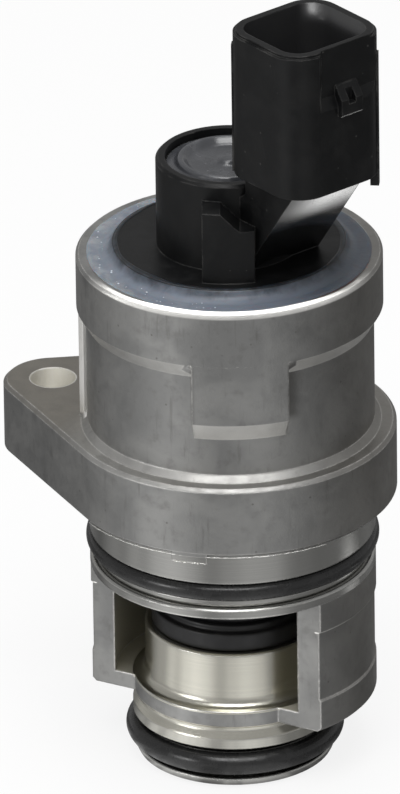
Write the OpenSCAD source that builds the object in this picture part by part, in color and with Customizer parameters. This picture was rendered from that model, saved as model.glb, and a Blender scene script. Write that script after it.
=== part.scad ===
// Idle air control valve: a die-cast aluminium body with a ported cage and a
// nozzle, a solenoid in its cup, and a moulded cover that carries the plug socket.
// Origin on the valve axis at the underside of the mounting flange, +Z towards
// the plug, mounting ear along -X, air window towards -Y. All sizes in mm.

/* [Flange] */
// Thickness of the mounting flange
flange_t = 10.4; // [6:0.1:14]
// How far the round part of the flange stands out of the barrel
flange_step = 3; // [2:0.1:7]
// Radius of the ear around the bolt hole
ear_r = 6.9; // [5:0.1:9]
// Distance from the valve axis to the bolt hole
ear_reach = 28.1; // [25:0.1:36]
// Diameter of the bolt hole
bolt_d = 6.4; // [4.3:0.1:8.4]
// Chamfer along the cast edges of the flange
flange_edge = 0.5; // [0.2:0.1:1]

/* [Solenoid cup] */
// Outer radius of the cup above the flange
barrel_r = 19.9; // [19.4:0.1:21]
// Height of the plain barrel between flange and collar
barrel_h = 15.7; // [10:0.1:24]
// How far the thick collar round the mouth stands out of the barrel
collar_step = 1.3; // [0.8:0.1:2]
// Height of the cone under the collar
collar_cone_h = 2.2; // [1:0.1:4]
// Height of the collar above its cone
collar_h = 7.8; // [6:0.1:12]
// Wall between the barrel's outside and the cup's bore
cup_wall = 2.7; // [2:0.1:3.4]
// Height of the cup's floor above the flange underside
cup_floor = 5; // [4:0.1:8]
// Depth of the counterbore that seats the cover
cover_seat_depth = 4.1; // [3.6:0.1:5.5]
// Width of the ledge that the cover stands on
cover_ledge = 1; // [0.6:0.1:1.2]
// Width of the flat top of the rim
rim_flat = 1.6; // [0.8:0.1:2]
// Depth of the cone inside the rim
rim_cone_h = 1.3; // [0.6:0.1:2]

/* [Cast pads] */
// Middle of the raised pad on the front of the barrel, as a plan angle
pad_angle = -58; // [-80:1:-40]
// Width of the raised pad, as an angle
pad_span = 37; // [20:1:60]
// How far the pad hangs below the collar cone
pad_drop = 6.7; // [3:0.1:9]
// Height of the sloping foot of the pad
pad_foot_h = 2.7; // [1:0.1:4]
// Thickness of the rib above the ear
rib_t = 1.1; // [0.5:0.1:1.5]
// Width of the rib's outer face
rib_w = 12.4; // [8:0.1:16]
// Width of the rib where it meets the barrel
rib_root_w = 18; // [12:0.1:22]

/* [Spigot and cage] */
// Radius of the spigot that enters the manifold
spigot_r = 19.85; // [19.2:0.05:21]
// Height of the machined spigot above its seal groove
spigot_h = 5.7; // [4:0.1:8]
// Width of the upper seal groove
groove_w = 3.8; // [3.4:0.1:5]
// Height of the land under the upper seal groove
land_h = 1.4; // [1:0.1:3]
// Height of the air window
window_h = 17.4; // [14:0.1:24]
// Distance of the window's flat cut from the axis
window_cut = 8.3; // [6:0.1:11]
// Wall thickness of the cage
cage_wall = 3; // [2:0.1:3.6]
// Depth of the cast skin below the machined part of the cage
cage_skin = 0.25; // [0.1:0.05:0.4]
// Height of the machined part of the cage
cage_turned_h = 4.4; // [2:0.1:8]
// Height of the thicker band at the foot of the cage
cage_foot_h = 4.7; // [3:0.1:6]
// Thickness of the plate under the window
floor_t = 2.3; // [1.6:0.1:4]

/* [Seat tube and nozzle] */
// Outer radius of the tube that carries the valve seat
tube_r = 12.4; // [11.8:0.1:12.8]
// Height of the valve seat above the plate
seat_h = 8.1; // [6:0.1:9]
// Radius of the fillet at the foot of the tube
tube_fillet = 1.5; // [0.6:0.1:1.6]
// Wall between the nozzle's land and the outlet bore
nozzle_wall = 4.4; // [4:0.1:5.7]
// Radius of the nozzle's land
nozzle_r = 14.2; // [14:0.1:15]
// Depth of the waist above the land
waist_depth = 0.7; // [0.3:0.1:1]
// Height of the waist
waist_h = 1.9; // [1.5:0.1:3]
// Height of the land above the lower seal groove
nozzle_land_h = 1.6; // [1:0.1:3]
// Width of the lower seal groove
nozzle_groove_w = 4.6; // [3.8:0.1:6]
// Height of the lip at the end of the nozzle
lip_h = 1.4; // [1:0.1:3]
// How far the lip is smaller than the land
lip_step = 0.4; // [0:0.1:0.6]

/* [Seals] */
// Section of the upper O-ring
ring_d = 3; // [2.4:0.1:3.3]
// How far the upper O-ring stands out of its groove
ring_proud = 0.5; // [0.2:0.05:0.8]
// Section of the lower O-ring
nozzle_ring_d = 3.2; // [2.4:0.1:3.4]
// How far the lower O-ring stands out of its groove
nozzle_ring_proud = 1; // [0.3:0.05:1.2]
// Section of the small O-ring round the guide tube
guide_ring_d = 1.7; // [1.4:0.1:2]

/* [Cover moulding] */
// Width of the sealant between the cover's base and its seat
seal_w = 2.1; // [1.6:0.1:3]
// How far the base stands above the rim of the cup
base_rise = 1.5; // [0.8:0.1:3]
// Thickness of the foot flange under the base
foot_t = 1.5; // [1:0.1:2]
// Radius of the tower
tower_r = 10; // [9.5:0.1:11]
// Height of the tower above the base
tower_h = 13; // [11:0.1:18]
// Width of the flat rim on top of the tower
tower_rim = 1.3; // [0.8:0.1:2]
// Depth of the recess in the top of the tower
tower_recess = 1.2; // [0.8:0.1:2]
// Radius of the plug in the top of the tower
plug_r = 6.2; // [4.5:0.1:7]
// Height of the plug's raised edge
plug_t = 0.9; // [0.6:0.1:1.2]
// Width of the plug's raised edge
plug_lip = 0.7; // [0.4:0.1:1.2]
// Radius of the pip in the middle of the plug
plug_pip = 1.1; // [0.6:0.1:1.6]
// Length of the plug's stem
plug_stem = 4; // [2:0.1:6]

/* [Plug socket] */
// Plan angle of the socket
socket_angle = -22.5; // [-60:0.5:20]
// Distance from the valve axis to the middle of the socket
socket_reach = 16.9; // [16:0.1:22]
// Height of the gap between the tower's top and the socket's underside
socket_lift = 3.7; // [2:0.1:8]
// Height of the socket's outer wall
socket_h = 21.4; // [18:0.1:28]
// Radial size of the socket
socket_d = 16.1; // [15.6:0.1:19]
// Width of the socket
socket_w = 17.05; // [15:0.05:20]
// Radius of the socket's outer corners
socket_corner = 4.6; // [2:0.1:5]
// Wall thickness of the socket
socket_wall = 1.5; // [1.2:0.1:2.6]
// Thickness of the socket's floor
socket_floor = 5.7; // [4:0.1:8]
// Chamfer round the socket's mouth
socket_edge = 0.4; // [0.2:0.1:0.8]
// Depth of the recess in the latch face
latch_recess = 0.7; // [0.4:0.1:1]
// Height of the recess in the latch face
latch_recess_h = 7.2; // [5:0.1:9]
// Width of the lock ramp
ramp_w = 3.7; // [3:0.1:6]
// Distance of the lock ramp from the middle of the latch face
ramp_shift = 1; // [-2:0.1:2]
// How far the lock ramp stands out
ramp_t = 1.5; // [1:0.1:2.5]
// Height of the lock ramp
ramp_h = 4.4; // [4:0.1:8]
// Width of the slot in the lock ramp
ramp_slot = 1.2; // [0.8:0.1:2]
// Depth of the slot in the lock ramp
ramp_slot_h = 2.6; // [1:0.1:4]
// Thickness of the keying ribs on the socket's corners
key_t = 1.2; // [0.8:0.1:2]

/* [Bracket] */
// Slope of the bracket's outer face, from level
bracket_slope = 54.7; // [45:0.1:65]
// Distance from the axis to the foot of the bracket's outer face
bracket_foot = 9.4; // [8.8:0.1:11]
// Reach of the bracket to the side away from the ear
bracket_far = 8.2; // [5:0.1:8.4]
// Reach of the bracket to the side of the lug
bracket_near = 5; // [4:0.1:8]
// Drop from the tower's top to where the bracket meets its bore
bracket_drop = 4; // [2:0.1:6]
// Plan angle of the lug beside the tower
lug_angle = -62; // [-80:1:-55]
// Width of the lug
lug_w = 7.2; // [5:0.1:9]
// Outer radius of the lug
lug_r = 14.1; // [12:0.1:15]
// Height of the lug's higher shoulder above the base
lug_h = 10.5; // [8:0.1:11.5]
// Drop between the lug's two shoulders
lug_drop = 2.7; // [1:0.1:4]
// Width of the lug's lower shoulder
lug_step = 2; // [1:0.1:3]

/* [Terminals] */
// Distance between the two terminal blades
blade_pitch = 5.6; // [4:0.1:6.4]
// Width of a terminal blade
blade_w = 2.8; // [2:0.1:3.4]
// Thickness of a terminal blade
blade_t = 0.8; // [0.5:0.1:1]
// Height of a blade above the socket's floor
blade_h = 9.5; // [6:0.1:12]

/* [Solenoid] */
// Wall of the steel flux can
can_t = 1.5; // [1:0.1:2]
// Thickness of the flux can's bottom
can_floor = 2; // [1.2:0.1:3]
// Thickness of the flux plate over the coil
plate_t = 2; // [1.2:0.1:3]
// Thickness of the rubber cushion ring over the flux plate
cushion_t = 1; // [0.6:0.1:1.6]
// Width of the cushion ring
cushion_w = 3.6; // [2:0.1:5]
// Wall of the bobbin's core
bobbin_wall = 1.3; // [0.8:0.1:2]
// Thickness of the bobbin's flanges
bobbin_flange_t = 1.5; // [1:0.1:2.5]
// Depth of the free gap outside the winding
winding_gap = 1.1; // [0.5:0.1:3]
// Radius of the moving armature
armature_r = 6.2; // [5.6:0.05:6.4]
// Length of the armature
armature_l = 15.6; // [12:0.1:17]
// Wall of the guide tube
guide_wall = 0.6; // [0.4:0.05:0.8]
// Depth of the guide tube's pocket in the cup's floor
guide_pocket = 4; // [2.5:0.1:4.5]
// Gap left between armature and pole core at full lift
pole_gap = 0.7; // [0.4:0.1:2]
// Bore of the pole core, as a radius
pole_bore_r = 3.1; // [2.6:0.1:3.6]
// Length of the spring adjusting screw
screw_l = 4.5; // [3:0.1:6]

/* [Valve] */
// Lift of the valve from its seat
lift = 3; // [2:0.1:3.2]
// Radius of the valve shaft
shaft_r = 1.5; // [1:0.1:2]
// Radius of the poppet
poppet_r = 11.45; // [10.8:0.05:11.8]
// Thickness of the poppet's rim, rubber included
poppet_t = 2.65; // [2.2:0.05:3.2]
// Thickness of the rubber face on the poppet
face_t = 1.4; // [1:0.1:1.8]
// Height of the narrow collar over the poppet's rim
collar_gap = 0.85; // [0.5:0.05:1.2]
// Radius of the poppet's hub
hub_r = 4; // [3:0.1:5]
// Outer radius of the bellows
bellows_r = 11.3; // [10.6:0.05:11.6]
// Depth of the bellows' folds
bellows_fold = 1.7; // [1:0.1:2.4]
// Wall of the bellows
bellows_wall = 0.7; // [0.5:0.1:1]
// Outer radius of the shaft's bushing
bushing_r = 4; // [3:0.1:5]
// Length of the shaft's bushing
bushing_l = 8.5; // [6:0.1:10]
// Thickness of the clip under the poppet
clip_t = 0.8; // [0.5:0.1:1]
// Wire of the return spring
wire_d = 0.7; // [0.5:0.05:0.9]
// Coils of the return spring
spring_turns = 9; // [6:1:12]

/* [Fits] */
// Running clearance round the armature and the shaft
run_gap = 0.06; // [0.02:0.01:0.1]
// Gap between pieces that are assembled and don't move
fit_gap = 0.05; // [0.02:0.01:0.1]
// Gap at the flat faces that rest on each other
seat_gap = 0.02; // [0.01:0.01:0.05]

/* [Hidden] */
$fn = 128;
eps = 0.01;
big = 60;

// Levels of the casting
z_collar_lo = flange_t + barrel_h;
z_collar = z_collar_lo + collar_cone_h;
z_rim = z_collar + collar_h;
z_groove_hi = -spigot_h;
z_groove_lo = z_groove_hi - groove_w;
z_ceiling = z_groove_lo - land_h;
z_floor = z_ceiling - window_h;
z_plate = z_floor - floor_t;
z_nozzle_land = z_plate - waist_h;
z_groove2_hi = z_nozzle_land - nozzle_land_h;
z_groove2_lo = z_groove2_hi - nozzle_groove_w;
z_tip = z_groove2_lo - lip_h;
z_seat = z_floor + seat_h;
flange_r = barrel_r + flange_step;
collar_r = barrel_r + collar_step;
cup_r = barrel_r - cup_wall;
seat_bore_r = cup_r + cover_ledge;
rim_in_r = collar_r - rim_flat;
base_r = seat_bore_r - seal_w;
cage_in_r = spigot_r - cage_skin - cage_wall;
nozzle_neck_r = nozzle_r - 0.2;
outlet_r = nozzle_r - nozzle_wall;

// Levels of the cover and the socket
z_ledge = z_rim - cover_seat_depth;
z_base = z_rim + base_rise;
z_tower = z_base + tower_h;
z_recess = z_tower - tower_recess;
z_socket = z_tower + socket_lift;
z_mouth = z_socket + socket_h;
z_socket_floor = z_socket + socket_floor;

// Levels and radii of the solenoid
z_plate_top = z_ledge - cushion_t;
z_can_top = z_plate_top - plate_t;
z_coil_lo = cup_floor + can_floor + fit_gap;
z_coil_hi = z_can_top - fit_gap;
z_pocket = cup_floor - guide_pocket;
can_r = cup_r - 3 * fit_gap;
guide_in_r = armature_r + run_gap;
guide_r = guide_in_r + guide_wall;
bobbin_in_r = guide_r + fit_gap;
bobbin_r = can_r - can_t - 2 * fit_gap;
pole_r = guide_in_r - fit_gap;
z_armature = z_pocket + 1.2;
z_armature_top = z_armature + armature_l;
z_pole = z_armature_top + lift + pole_gap;
z_pole_top = z_base + 2.4;
z_screw = z_pole_top - 0.5 - screw_l;
z_spring_lo = z_armature_top - 2;
tower_bore_r = pole_r + 2 * fit_gap;

// Levels of the valve
z_rim_top = z_seat + poppet_t;
z_bellows = z_rim_top + collar_gap;
z_hub = z_ceiling - lift - 0.5;
z_face = z_seat + face_t;
z_shaft = z_seat + 0.1;
z_shaft_top = z_spring_lo - 1;

// Upper half angle of the flange's straight sides, seen from the axis
side_angle = acos((flange_r - ear_r) / ear_reach);

// Ring with a round section: centre radius, section and height of its middle
module torus(r, d, z) {
    translate([0, 0, z]) rotate_extrude() translate([r, 0]) circle(d = d, $fn = 48);
}

// Plain ring between two radii and two levels
module ring(r_in, r_out, z_lo, z_hi) {
    translate([0, 0, z_lo])
        difference() {
            cylinder(r = r_out, h = z_hi - z_lo);
            translate([0, 0, -1]) cylinder(r = r_in, h = z_hi - z_lo + 2);
        }
}

// Rectangle with round corners, centred
module round_rect(x, y, r) {
    union() {
        square([x - 2 * r, y], center = true);
        square([x, y - 2 * r], center = true);
        for (sx = [-1, 1], sy = [-1, 1])
            translate([sx * (x / 2 - r), sy * (y / 2 - r)]) circle(r = r, $fn = 64);
    }
}

// Disc with chamfered edges, standing on z = 0
module chamfered_disc(r, h, e) {
    rotate_extrude()
        polygon([[0, 0], [r - e, 0], [r, e], [r, h - e], [r - e, h], [0, h]]);
}

// Half slab with chamfered edge whose face lies at distance r along +X
module chamfered_side(r, h, e) {
    rotate([90, 0, 0])
        translate([0, 0, -big])
            linear_extrude(2 * big)
                polygon([[-big, 0], [r - e, 0], [r, e], [r, h - e], [r - e, h], [-big, h]]);
}

// Ear of the flange and the straight sides that join it to the round part
module flange_ear() {
    intersection() {
        translate([-ear_reach, 0, 0]) chamfered_disc(ear_r, flange_t, flange_edge);
        translate([-big - ear_reach, -big, -1]) cube([big, 2 * big, flange_t + 2]);
    }
    intersection() {
        rotate([0, 0, 180 - side_angle]) chamfered_side(flange_r - eps, flange_t, flange_edge);
        rotate([0, 0, 180 + side_angle]) chamfered_side(flange_r - eps, flange_t, flange_edge);
        translate([-ear_reach - ear_r * cos(side_angle), -big, 0])
            cube([ear_reach + (ear_r - flange_r) * cos(side_angle), 2 * big, flange_t]);
    }
}

// Outside of the nozzle, from its tip up to the plate
function nozzle_profile() =
    let (
        lip_r = nozzle_r - lip_step,
        root_r = nozzle_r + nozzle_ring_proud - nozzle_ring_d - seat_gap
    )
    [
        [0, z_tip],
        [lip_r - 0.9, z_tip],
        [lip_r - 0.25, z_tip + 0.3],
        [lip_r, z_tip + 0.8],
        [lip_r, z_groove2_lo - 0.2],
        [lip_r - 0.2, z_groove2_lo],
        [root_r, z_groove2_lo],
        [root_r, z_groove2_hi],
        [nozzle_r - 0.2, z_groove2_hi],
        [nozzle_r, z_groove2_hi + 0.2],
        [nozzle_r, z_nozzle_land],
        [nozzle_r - waist_depth, z_nozzle_land + 1.1],
        [nozzle_r - waist_depth, z_plate - 0.4],
        [nozzle_neck_r, z_plate]
    ];

// Outside of the cage, from the plate up to the land
function cage_profile() =
    let (cast_r = spigot_r - cage_skin)
    [
        [cast_r - 0.3, z_plate],
        [cast_r + 0.2, z_plate + 0.5],
        [cast_r + 0.2, z_plate + cage_foot_h],
        [cast_r, z_plate + cage_foot_h + 0.2],
        [cast_r, z_ceiling - cage_turned_h],
        [spigot_r, z_ceiling - cage_turned_h + 0.15]
    ];

// Outside of the land, seal groove, spigot, flange, barrel and collar
function cup_profile() =
    let (root_r = spigot_r + ring_proud - ring_d - seat_gap)
    [
        [spigot_r, z_groove_lo - 0.3],
        [spigot_r - 0.3, z_groove_lo],
        [root_r, z_groove_lo],
        [root_r, z_groove_hi],
        [spigot_r - 0.2, z_groove_hi],
        [spigot_r, z_groove_hi + 0.2],
        [spigot_r, -0.8],
        [spigot_r + 0.8, 0],
        [flange_r - flange_edge, 0],
        [flange_r, flange_edge],
        [flange_r, flange_t - flange_edge],
        [flange_r - flange_edge, flange_t],
        [barrel_r + 0.9, flange_t],
        [barrel_r, flange_t + 0.9],
        [barrel_r, z_collar_lo],
        [collar_r, z_collar],
        [collar_r, z_rim - 0.4],
        [collar_r - 0.4, z_rim],
        [0, z_rim]
    ];

// Air chamber inside the cage, from its ceiling down to the seat tube
function chamber_profile() =
    concat(
        [
            [0, z_ceiling],
            [cage_in_r, z_ceiling],
            [cage_in_r, z_floor]
        ],
        [
            for (a = [0:15:90])
                [tube_r + tube_fillet * (1 - sin(a)), z_floor + tube_fillet * (1 - cos(a))]
        ],
        [
            [tube_r, z_seat - 0.3],
            [tube_r - 0.3, z_seat],
            [0, z_seat]
        ]
    );

// Solid of revolution that holds every round surface of the casting
module turned_casting() {
    rotate_extrude()
        polygon(concat(nozzle_profile(), cage_profile(), cup_profile(), chamber_profile()));
}

// Flat front of the cage, with the air window behind it
module window_cut() {
    difference() {
        translate([-big, -big - window_cut, z_plate - 0.3])
            cube([2 * big, big, z_ceiling - z_plate + 0.3]);
        translate([0, 0, z_plate - 1]) cylinder(r = nozzle_neck_r, h = window_h + floor_t + 2);
    }
}

// Raised pad that hangs from the collar on the front of the barrel
module front_pad() {
    z_pad = z_collar_lo - pad_drop;
    rotate([0, 0, pad_angle])
        intersection() {
            rotate_extrude()
                polygon([
                    [cup_r + 1, z_pad - pad_foot_h],
                    [barrel_r, z_pad - pad_foot_h],
                    [collar_r, z_pad],
                    [collar_r, z_collar],
                    [cup_r + 1, z_collar]
                ]);
            linear_extrude(z_rim)
                polygon([
                    [0, 0],
                    [big, big * tan(pad_span / 2)],
                    [big, -big * tan(pad_span / 2)]
                ]);
        }
}

// Cast rib between the ear and the collar
module ear_rib() {
    intersection() {
        translate([0, 0, flange_t - 1]) cylinder(r = barrel_r + rib_t, h = z_collar - flange_t + 1);
        linear_extrude(z_rim)
            polygon([
                [-cup_r - 1, -rib_root_w / 2],
                [-cup_r - 1, rib_root_w / 2],
                [-barrel_r, rib_root_w / 2 - 0.6],
                [-barrel_r - rib_t, rib_w / 2],
                [-barrel_r - rib_t, -rib_w / 2],
                [-barrel_r, -rib_root_w / 2 + 0.6]
            ]);
    }
}

// Everything that is cut out of the casting
module body_cuts() {
    // Cup, cover seat and the cone inside the rim
    rotate_extrude()
        polygon([
            [0, cup_floor],
            [cup_r, cup_floor],
            [cup_r, z_ledge],
            [seat_bore_r, z_ledge],
            [seat_bore_r, z_rim - rim_cone_h],
            [rim_in_r, z_rim],
            [rim_in_r, z_rim + 1],
            [0, z_rim + 1]
        ]);
    // Pocket of the guide tube and counterbore of its O-ring
    translate([0, 0, z_pocket]) cylinder(r = guide_r + fit_gap, h = guide_pocket + 1);
    translate([0, 0, cup_floor - guide_ring_d - 0.1])
        cylinder(r = guide_r + fit_gap + guide_ring_d + 0.1, h = guide_ring_d + 1);
    // Bore of the shaft's bushing
    translate([0, 0, z_ceiling - 1])
        cylinder(r = bushing_r + fit_gap, h = z_pocket - z_ceiling + 2);
    // Outlet through the seat tube and the nozzle
    translate([0, 0, z_tip - 1]) cylinder(r = outlet_r, h = z_seat - z_tip + 2);
    translate([0, 0, z_tip - eps]) cylinder(r1 = outlet_r + 0.8, r2 = outlet_r, h = 0.8);
    // Bolt hole
    translate([-ear_reach, 0, -1]) cylinder(d = bolt_d, h = flange_t + 2);
}

// One-piece casting: cup, flange, spigot, cage, seat tube and nozzle
module body() {
    color("silver")
        difference() {
            union() {
                turned_casting();
                flange_ear();
                front_pad();
                ear_rib();
            }
            window_cut();
            body_cuts();
        }
}

// Seal of the spigot, held against the upper wall of its groove
module upper_o_ring() {
    color("dimgray")
        torus(spigot_r + ring_proud - ring_d / 2, ring_d, z_groove_hi - ring_d / 2 - fit_gap);
}

// Seal of the nozzle, in the middle of its groove
module lower_o_ring() {
    color("dimgray")
        torus(nozzle_r + nozzle_ring_proud - nozzle_ring_d / 2, nozzle_ring_d,
              (z_groove2_hi + z_groove2_lo) / 2);
}

// Moves its children into the socket: +X outward, +Z up, z = 0 at the underside
module at_socket() {
    rotate([0, 0, socket_angle]) translate([socket_reach, 0, z_socket]) children();
}

// Outer block of the socket with a chamfered mouth
module socket_block() {
    linear_extrude(socket_h - socket_edge) round_rect(socket_d, socket_w, socket_corner);
    linear_extrude(socket_h)
        round_rect(socket_d - 2 * socket_edge, socket_w - 2 * socket_edge,
                   socket_corner - socket_edge);
}

// Recess in the latch face: it runs out at its foot and rises at its near end
module latch_cut() {
    face = socket_d / 2;
    start = socket_corner - socket_w / 2;
    intersection() {
        translate([0, big / 2, 0])
            rotate([90, 0, 0])
                linear_extrude(big)
                    polygon([
                        [face - latch_recess, socket_h + 1],
                        [face - latch_recess, socket_h - latch_recess_h],
                        [face, socket_h - latch_recess_h - 1.6],
                        [face + 2, socket_h - latch_recess_h - 1.6],
                        [face + 2, socket_h + 1]
                    ]);
        linear_extrude(socket_h + 1)
            polygon([
                [face - latch_recess, start + latch_recess],
                [face + 2, start - 2],
                [face + 2, socket_w],
                [face - latch_recess, socket_w]
            ]);
    }
}

// Lock ramp under the recess: a sloping top with a slot in it
module lock_ramp() {
    z_top = socket_h - latch_recess_h + 1.4;
    x_in = socket_d / 2 - latch_recess - 0.2;
    x_out = socket_d / 2 + ramp_t - 0.6;
    translate([0, ramp_shift, 0])
        difference() {
            translate([0, ramp_w / 2, 0])
                rotate([90, 0, 0])
                    linear_extrude(ramp_w)
                        polygon([
                            [x_in, z_top - ramp_h],
                            [x_out - 0.3, z_top - ramp_h],
                            [x_out, z_top - ramp_h + 0.3],
                            [x_out, z_top - ramp_t - 0.4],
                            [x_in + 0.4, z_top],
                            [x_in, z_top]
                        ]);
            translate([x_in + 0.8, -ramp_slot / 2, z_top - ramp_slot_h])
                cube([2 * ramp_t, ramp_slot, ramp_slot_h + 1]);
        }
}

// Keying ribs along two opposite corners of the socket
module key_ribs() {
    dx = socket_d / 2 - socket_corner;
    dy = socket_w / 2 - socket_corner;
    translate([-dx, -dy, 0])
        rotate([0, 0, 225])
            translate([socket_corner - 1, -key_t / 2, 0])
                cube([1.2, key_t, socket_h - 2.4]);
    translate([dx, dy, -1.9])
        rotate([0, 0, 45])
            translate([socket_corner - 1, -key_t / 2, 0])
                cube([1.2, key_t, socket_h - 1.5]);
}

// Sloping bracket between the tower and the underside of the socket
module bracket() {
    rise = z_socket - z_base;
    rotate([0, 0, socket_angle])
        translate([0, bracket_far, 0])
            rotate([90, 0, 0])
                linear_extrude(bracket_far + bracket_near)
                    polygon([
                        [tower_bore_r, z_base - 0.5],
                        [bracket_foot - 0.5 / tan(bracket_slope), z_base - 0.5],
                        [bracket_foot + rise / tan(bracket_slope), z_socket],
                        [bracket_foot + rise / tan(bracket_slope), z_socket + eps],
                        [socket_reach - socket_d / 2 + 1, z_socket + eps],
                        [socket_reach - socket_d / 2 + 1, z_tower - 0.8],
                        [tower_bore_r, z_tower - bracket_drop]
                    ]);
}

// Lug beside the tower, with a sloping step between its two shoulders
module lug() {
    half = lug_w / 2;
    rotate([0, 0, lug_angle])
        intersection() {
            translate([tower_bore_r, 0, 0])
                rotate([90, 0, 90])
                    linear_extrude(big)
                        polygon([
                            [-half, z_base - 0.5],
                            [half, z_base - 0.5],
                            [half, z_base + lug_h - lug_drop],
                            [half - lug_step, z_base + lug_h - lug_drop],
                            [half - lug_step - lug_drop, z_base + lug_h],
                            [-half, z_base + lug_h]
                        ]);
            cylinder(r = lug_r, h = z_mouth);
        }
}

// Path of one terminal, grown by a gap where the cover is cut for it: a blade in
// the socket, two steps down through the bracket, and a leg in the tower's wall
module terminal_path(side, gap) {
    w = blade_w + 2 * gap;
    t = blade_t + 2 * gap;
    z_high = z_socket - 1.8;
    z_low = z_recess - 2.4;
    x_leg = tower_bore_r + 1.6;
    x_step = (x_leg + socket_reach) / 2;
    rotate([0, 0, socket_angle])
        translate([0, side * blade_pitch / 2 - w / 2, 0]) {
            translate([socket_reach - t / 2, 0, z_high - gap])
                cube([t, w, z_socket_floor + blade_h - z_high + gap]);
            translate([x_step - t / 2, 0, z_high - gap]) cube([socket_reach - x_step + t, w, t]);
            translate([x_step - t / 2, 0, z_low - gap]) cube([t, w, z_high - z_low + t]);
            translate([x_leg - t / 2, 0, z_low - gap]) cube([x_step - x_leg + t, w, t]);
            translate([x_leg - t / 2, 0, z_coil_hi + 0.1 - gap])
                cube([t, w, z_low - z_coil_hi - 0.1 + t]);
        }
}

// Moulded cover: base, tower, lug, bracket and plug socket in one piece
module connector_cover() {
    color("#2b2c2e")
        difference() {
            union() {
                translate([0, 0, z_ledge]) cylinder(r = seat_bore_r - fit_gap, h = foot_t);
                translate([0, 0, z_ledge]) cylinder(r = base_r, h = z_base - z_ledge);
                translate([0, 0, z_base - 0.5])
                    rotate_extrude()
                        polygon([
                            [0, 0],
                            [tower_r, 0],
                            [tower_r, tower_h + 0.1],
                            [tower_r - 0.4, tower_h + 0.5],
                            [0, tower_h + 0.5]
                        ]);
                lug();
                bracket();
                at_socket() difference() {
                    socket_block();
                    latch_cut();
                }
                at_socket() lock_ramp();
                at_socket() key_ribs();
            }
            // Room for the pole core, the plug's stem and the plug's recess
            translate([0, 0, z_ledge - 1])
                cylinder(r = tower_bore_r, h = z_pole_top + 0.2 - z_ledge + 1);
            translate([0, 0, z_pole_top]) cylinder(r = pole_bore_r, h = tower_h);
            translate([0, 0, z_recess]) cylinder(r = tower_r - tower_rim, h = tower_recess + 1);
            // Cavity of the socket
            at_socket()
                translate([0, 0, socket_floor])
                    linear_extrude(socket_h)
                        round_rect(socket_d - 2 * socket_wall, socket_w - 2 * socket_wall,
                                   socket_corner - socket_wall);
            terminal_path(-1, fit_gap);
            terminal_path(1, fit_gap);
        }
}

// Dished plug that closes the adjusting hole in the tower
module tower_plug() {
    color("#3b3d40")
        translate([0, 0, z_recess + seat_gap]) {
            rotate_extrude()
                polygon([
                    [0, 0],
                    [plug_r, 0],
                    [plug_r, plug_t * 2 / 3],
                    [plug_r - plug_t / 3, plug_t],
                    [plug_r - plug_t / 3 - plug_lip, plug_t],
                    [plug_r - plug_t / 3 - 2 * plug_lip, plug_t * 0.6],
                    [plug_pip, plug_t / 2],
                    [plug_pip * 0.7, plug_t * 0.9],
                    [0, plug_t * 0.9]
                ]);
            translate([0, 0, -plug_stem])
                cylinder(r = pole_bore_r - fit_gap, h = plug_stem + eps);
        }
}

// Sealant that fills the gap between the cover and the rim of the cup
module potting_seal() {
    r_in = base_r + fit_gap / 2;
    r_out = seat_bore_r - fit_gap / 2;
    z_lo = z_ledge + foot_t + fit_gap;
    cone_slope = (rim_in_r - seat_bore_r) / rim_cone_h;
    skin_drop = rim_cone_h / 5;
    color("lightsteelblue")
        rotate_extrude()
            polygon([
                [r_in, z_lo],
                [r_out, z_lo],
                [r_out, z_rim - rim_cone_h],
                [rim_in_r - skin_drop * cone_slope - fit_gap, z_rim - skin_drop],
                [rim_in_r - 1, z_rim - 0.12],
                [r_in + 1.1, z_rim + 0.05],
                [r_in + 0.45, z_rim + 0.4],
                [r_in, z_base - 0.4]
            ]);
}

module terminal_near() {
    color("goldenrod") terminal_path(-1, 0);
}

module terminal_far() {
    color("goldenrod") terminal_path(1, 0);
}

// Steel can round the coil
module flux_can() {
    color("slategray")
        difference() {
            translate([0, 0, cup_floor + seat_gap])
                cylinder(r = can_r, h = z_can_top - cup_floor - 2 * seat_gap);
            translate([0, 0, cup_floor + can_floor]) cylinder(r = can_r - can_t, h = z_rim);
            translate([0, 0, cup_floor - 1]) cylinder(r = guide_r + fit_gap, h = z_rim);
        }
}

// Steel plate over the coil, with a notch for each terminal
module flux_plate() {
    color("lightslategray")
        difference() {
            ring(pole_r + fit_gap, can_r, z_can_top, z_plate_top);
            terminal_path(-1, 0.4);
            terminal_path(1, 0.4);
        }
}

// Rubber ring that holds the coil stack down
module cushion_ring() {
    color("#404040") ring(base_r - cushion_w - seal_w / 5, base_r - seal_w / 5,
                          z_plate_top + seat_gap, z_ledge - seat_gap);
}

// Bobbin of the coil
module coil_bobbin() {
    color("ivory")
        difference() {
            union() {
                ring(bobbin_in_r, bobbin_in_r + bobbin_wall, z_coil_lo, z_coil_hi);
                ring(bobbin_in_r, bobbin_r, z_coil_lo, z_coil_lo + bobbin_flange_t);
                ring(bobbin_in_r, bobbin_r, z_coil_hi - bobbin_flange_t, z_coil_hi);
            }
        }
}

// Copper winding on the bobbin
module coil_winding() {
    color("chocolate")
        ring(bobbin_in_r + bobbin_wall + fit_gap, bobbin_r - winding_gap,
             z_coil_lo + bobbin_flange_t + seat_gap, z_coil_hi - bobbin_flange_t - seat_gap);
}

// Brass tube in which the armature slides
module guide_tube() {
    color("gold") ring(guide_in_r, guide_r, z_pocket + seat_gap, z_can_top - fit_gap);
}

// Small seal between the guide tube and the casting
module guide_o_ring() {
    color("#222222")
        torus(guide_r + fit_gap + guide_ring_d / 2, guide_ring_d, cup_floor - guide_ring_d / 2 - 0.05);
}

// Fixed steel core that pulls the armature up
module pole_core() {
    color("steelblue") ring(pole_bore_r + fit_gap, pole_r, z_pole, z_pole_top);
}

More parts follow.
